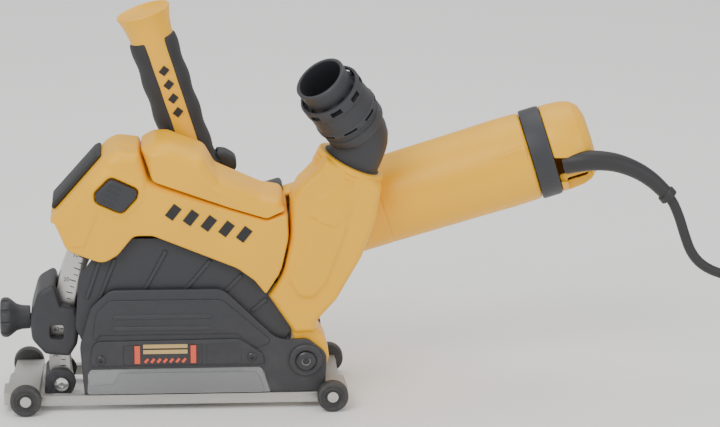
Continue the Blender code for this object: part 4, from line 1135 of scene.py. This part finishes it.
def hollow_tube(line, outer, inner):
    """A tube with a wall, along a line of points, closed round its two rims."""
    shell = sweep(line, outer, 64)
    bmesh.ops.delete(shell, geom=[f for f in shell.faces if len(f.verts) > 4], context="FACES_ONLY")
    bore = sweep(line, inner, 64)
    bmesh.ops.delete(bore, geom=[f for f in bore.faces if len(f.verts) > 4], context="FACES_ONLY")
    bmesh.ops.reverse_faces(bore, faces=bore.faces)
    both = merged(shell, bore)
    rims = [e for e in both.edges if e.is_boundary]
    bmesh.ops.bridge_loops(both, edges=[e for e in rims if (e.verts[0].co - line[0]).length < 40])
    rims = [e for e in both.edges if e.is_boundary]
    bmesh.ops.bridge_loops(both, edges=rims)
    bmesh.ops.recalc_face_normals(both, faces=both.faces)
    return both


knee = [SOCKET + SOCKET_WAY * t for t in (-14, -4, 8)]
knee += [BEND - SOCKET_WAY * 2 + PORT_WAY * 3]
knee += [BEND + PORT_WAY * t for t in (13, 24, 40, 56, 66.5)]
knee_line = smooth(knee, 3.0)
count = len(knee_line)
outer = [20.9 if k < count * 0.55 else 20.9 - 1.1 * min(1, (k / count - 0.55) * 6) for k in range(count)]
elbow = new_piece("dust_bend", hollow_tube(knee_line, outer, [17.6] * count), 50)
dress(elbow, CHARCOAL, "elbow", "dust_elbow")
seal = turned([(21.0, -1.5), (22.2, -1.5), (22.6, 0.8), (21.0, 1.4)], SOCKET, SOCKET_WAY, 96)
dress(new_piece("socket_seal", seal), TYRE, "elbow")
rim = turned([(17.6, 64.5), (20.3, 64.5), (20.3, 67.0), (19.6, 67.5), (18.0, 67.5), (17.6, 67.1)], BEND, PORT_WAY, 96)
dress(new_piece("pipe_rim", rim), CHARCOAL, "elbow")
sleeve = [
    (21.3, 12.5), (23.6, 12.5), (24.2, 14.2), (24.2, 19.5), (23.2, 20.2), (23.2, 24.6), (20.3, 24.6),
    (20.3, 20.4), (21.3, 14.4),
]
dress(new_piece("pipe_shoulder", turned(sleeve, BEND, PORT_WAY, 96)), CHARCOAL, "elbow", "port_sleeve")
twist = [
    (20.3, 25.0), (24.4, 25.0), (25.4, 26.2), (25.4, 29.5), (24.6, 30.4), (24.3, 38), (23.9, 44), (24.9, 45.2),
    (25.0, 52.8), (24.4, 54), (22.9, 54), (22.4, 46), (20.3, 46),
]
windows = []
for k in range(8):
    turn = Matrix.Rotation(2 * math.pi * k / 8, 4, PORT_WAY)
    window = slab((-4.5, 20, -2.2), (4.5, 30, 2.2))
    lift = Vector((0, 0, 1)).rotation_difference(PORT_WAY).to_matrix().to_4x4()
    window.transform(Matrix.Translation(BEND + PORT_WAY * 49) @ turn @ lift)
    windows.append(window)
    slit = slab((-5.5, 23.3, -0.9), (5.5, 30, 0.9))
    slit.transform(Matrix.Translation(BEND + PORT_WAY * 27.8) @ turn @ lift)
    windows.append(slit)
dress(with_hole("hose_collar", turned(twist, BEND, PORT_WAY, 96), *windows), CHARCOAL, "twist_ring", "port_ring")

# %% [markdown]
# The depth scale is a bent strip of zinc plated steel, printed with a long mark for each five millimetres of
# plunge and a short one halfway. The marks stand on a rule: equal steps of angle round the pivot. So a second
# tree walks an arc and sets a small bar at each step. The numbers are real text, made into meshes and laid on
# the strip's side.

# %% The depth scale
def arc_tree():
    tree, given, out = start_tree(
        "marks_on_an_arc", Count="Int", Radius="Float", First="Float", Step="Float", Centre="Vector",
        Bar="Vector", Finish="Material",
    )
    nodes, links = tree.nodes, tree.links
    line = nodes.new("GeometryNodeMeshLine")
    links.new(given.outputs["Count"], line.inputs["Count"])
    index = nodes.new("GeometryNodeInputIndex")
    angle = math_node(nodes, links, "MULTIPLY_ADD", index.outputs[0], given.outputs["Step"], given.outputs["First"])
    x = math_node(nodes, links, "MULTIPLY", math_node(nodes, links, "COSINE", angle), given.outputs["Radius"])
    z = math_node(nodes, links, "MULTIPLY", math_node(nodes, links, "SINE", angle), given.outputs["Radius"])
    spot = nodes.new("ShaderNodeCombineXYZ")
    links.new(math_node(nodes, links, "MULTIPLY", x, -1.0), spot.inputs["X"])
    links.new(z, spot.inputs["Z"])
    shift = nodes.new("ShaderNodeVectorMath")
    links.new(spot.outputs[0], shift.inputs[0])
    links.new(given.outputs["Centre"], shift.inputs[1])
    lay = nodes.new("GeometryNodeSetPosition")
    links.new(line.outputs["Mesh"], lay.inputs["Geometry"])
    links.new(shift.outputs[0], lay.inputs["Position"])
    turn = nodes.new("ShaderNodeCombineXYZ")
    links.new(angle, turn.inputs["Y"])
    bars_on(tree, lay.outputs[0], turn.outputs[0], given, out)
    return tree


ARC = arc_tree()
MARK_STEP = math.radians(1.54)
dress(soften("depth_arc", 0.5), ZINC, "base")
for label, radius, size, side in (("near", 187.0, (3.2, 0.2, 0.6), -13.06), ("long", 187.8, (5.0, 0.2, 0.7), -13.08)):
    far = label == "long"
    marks = grown(
        f"scale_marks_{label}", ARC, 0, Count=10 if far else 19, Radius=radius * MM,
        First=math.radians(-3.2), Step=MARK_STEP * (2 if far else 1), Centre=list(place(97.5, side, 39.5)),
        Bar=[v * MM for v in size], Finish=INK,
    )
    dress(marks, INK, "base")
for k in range(5):
    text = bpy.data.curves.new(f"scale_number_{k}", "FONT")
    text.body = str(10 * (k + 1))
    text.size = 4.6 * MM
    text.extrude = 0.06 * MM
    drawn = bpy.data.objects.new(f"scale_number_{k}", text)
    bpy.context.scene.collection.objects.link(drawn)
    number = settled(drawn, f"scale_number_{k}")
    angle = math.radians(24.4) - 4 * MARK_STEP * k
    spot = place(97.5 - 193.2 * math.cos(angle) - 2.0, -13.1, 39.5 + 193.2 * math.sin(angle) - 1.8)
    number.data.transform(Matrix.Translation(spot) @ Matrix.Rotation(math.radians(90), 4, "X"))
    dress(number, INK, "base")

# %% [markdown]
# The clamp slides on the scale, with a window to read it and a knob to lock it. It is a thick moulding, so it
# gets generous edges from the voxel skin. The knob is turned, and its rim is notched for the fingers.

# %% The clamp, the knob and the arc's bolt
CLAMP = [
    (-95, 99.4, 3), (-108, 92, 10), (-114, 70, 12), (-113, 54, 8), (-103, 42, 5), (-84, 40, 4), (-78, 50, 6),
    (-75, 72, 4), (-79, 79, 3), (-90, 81),
]


def arc_room(inner, outer, side, low=-12, high=30, steps=14):
    angles = [math.radians(low + (high - low) * k / steps) for k in range(steps + 1)]
    line = [(97.5 - outer * math.cos(a), 39.5 + outer * math.sin(a)) for a in angles]
    line += [(97.5 - inner * math.cos(a), 39.5 + inner * math.sin(a)) for a in reversed(angles)]
    return prism(line, (-side, 0), (side, 0))


eye = prism([(-99, 55, 1.5), (-99, 66, 1.5), (-88, 66, 2), (-89, 54, 2)], (-30, 0), (-13, 0))
clamp_cuts = [arc_room(178, 198.8, 13.8), arc_room(140, 184, 19), eye, rod((0, 0, 65), (1, 0, 0), -130, -90, 3.4)]
clamp = mould("depth_clamp", [soft_prism(CLAMP, -24, 24, 3.5)], clamp_cuts, cell=0.7, melt=4)
dress(clamp, CHARCOAL, "stop", "depth_stop")
knob_shape = [
    (0, -137.6), (12.5, -137.6), (14.6, -136.6), (15.5, -134.8), (15.5, -131.6), (14, -129.4), (10.6, -125),
    (9.4, -121),
    (9.0, -114.6), (3.0, -114.6), (3.0, -101.4), (0, -101.4),
]
notches = [rod((0, 15.4 * math.cos(a), 65 + 15.4 * math.sin(a)), (1, 0, 0), -140, -130, 1.6, 16) for a in
           [2 * math.pi * k / 10 for k in range(10)]]
dress(with_hole("clamp_knob", turned(knob_shape, (0, 0, 65), (1, 0, 0), 64), *notches), CHARCOAL, "knob", "depth_knob")
BOLT_ANGLE = math.radians(-7.1)
bolt_spot = Vector((97.5 - 190 * math.cos(BOLT_ANGLE), 0, 39.5 + 190 * math.sin(BOLT_ANGLE)))
bolt_shape = [
    (0, -19.6), (1.9, -19.8), (2.0, -21.0), (4.2, -21.0), (5.4, -20.4), (5.8, -19.4), (5.8, -17.4), (3.0, -17.4),
    (3.0, 19.0), (0, 19.0),
]
dress(new_piece("scale_bolt", turned(bolt_shape, bolt_spot, ACROSS, 48)), BOLT, "base", "arc_bolt")

# %% [markdown]
# The latch is a black button with fine steps for the thumb. The relief on the cord is one tapered tube,
# swept along the relief's own line. The plug has a rounded square body that widens from the cord, and two pins.

# %% The latch, the relief and the plug
latch = mould("latch_button", [prism(LATCH, (-42.4, 1.6), (-41.6, 0.5), (-40, 0), (-38.5, 0))], (), cell=0.5, melt=3)
dress(latch, CHARCOAL, "latch", "cover_latch")
bars("latch_steps", CHARCOAL, "latch", (-52, -42.3, 170), (1.8, 0, 4.0), 4, (9.0, 0.9, 1.2), math.radians(25), 0.3)

RELIEF = [
    (300, 3, 183), (308, 0, 185), (318, -1.5, 186.2), (328, -2, 186), (338, -2, 184.4), (348, -2, 181),
    (358, -2, 176), (367, -2, 169.6), (375, -2, 162), (380.5, -2, 155.8),
]
relief_line = smooth(RELIEF, 1.2)
last = len(relief_line) - 1
radii = []
for k in range(last + 1):
    taper = 8.6 * (1 - 0.36 * k / last)
    radii.append(max(taper, 5.2) if k < last - 4 else 7.2)
relief = new_piece("cord_relief", sweep(relief_line, radii, 32), 50)
dress(relief, CABLE, "head", "strain_relief")
tail_spot = COIL_CENTRE + Vector((48, 0, PLUG_LIFT))
sections = (
    (-25, 4.9, 4.9), (-20, 5.4, 5.4), (-12, 12, 6.4), (-4, 14.5, 7), (8, 16.5, 7), (11.5, 16.5, 7), (12, 15.6, 6.2),
)


def squarer(value):
    """A sine or cosine pushed outward, which turns a circle into a rounded square."""
    return abs(value) ** 0.5 * math.copysign(1, value)


rings = []
for y, wide, tall in sections:
    angles = [2 * math.pi * n / 40 for n in range(40)]
    squared = [(squarer(math.cos(a)), squarer(math.sin(a))) for a in angles]
    rings.append([tuple(tail_spot + Vector((wide * c, y, tall * s))) for c, s in squared])
pins = [rod(tail_spot + Vector((9.5 * s, 8, 0)), ACROSS, 0, 23, 2.2, 24) for s in (-1, 1)]
plug = new_piece("mains_plug", loft(rings), 40)
dress(plug, CABLE, "base", "plug")
dress(new_piece("plug_pins", merged(*pins), 40), BOLT, "base")

# %% [markdown]
# Each disc is a steel core whose rim carries sintered diamond segments. The segments are the same block
# fourteen times round, so the arc tree sets them too, with a full turn divided by their number.

# %% The discs
for name, side in (("near", -16.0), ("far", 4.0)):
    rim = grown(
        f"diamond_segments_{name}", ARC, 0.3, Count=14, Radius=70.8 * MM,
        First=math.radians(12.9), Step=2 * math.pi / 14, Centre=list(place(3.5, side, 82)),
        Bar=[7.8 * MM, 2.9 * MM, 24.0 * MM], Finish=DIAMOND,
    )
    dress(rim, DIAMOND, "spindle")
    for entry in frame["nodes"][f"disc_{name}"].material_slots:
        entry.material = DISC
GUARD = [
    (-76, 108, 10), (-52, 138, 8), (50, 138, 8), (70, 108, 6), (80, 84, 6), (86, 64, 6), (80, 46, 6), (-70, 46, 8),
    (-79, 66, 10),
]
guard = new_piece("disc_guard", soft_prism(GUARD, -31.2, -29.2, 0.5))
dress(guard, CHARCOAL, "head", "inner_guard")
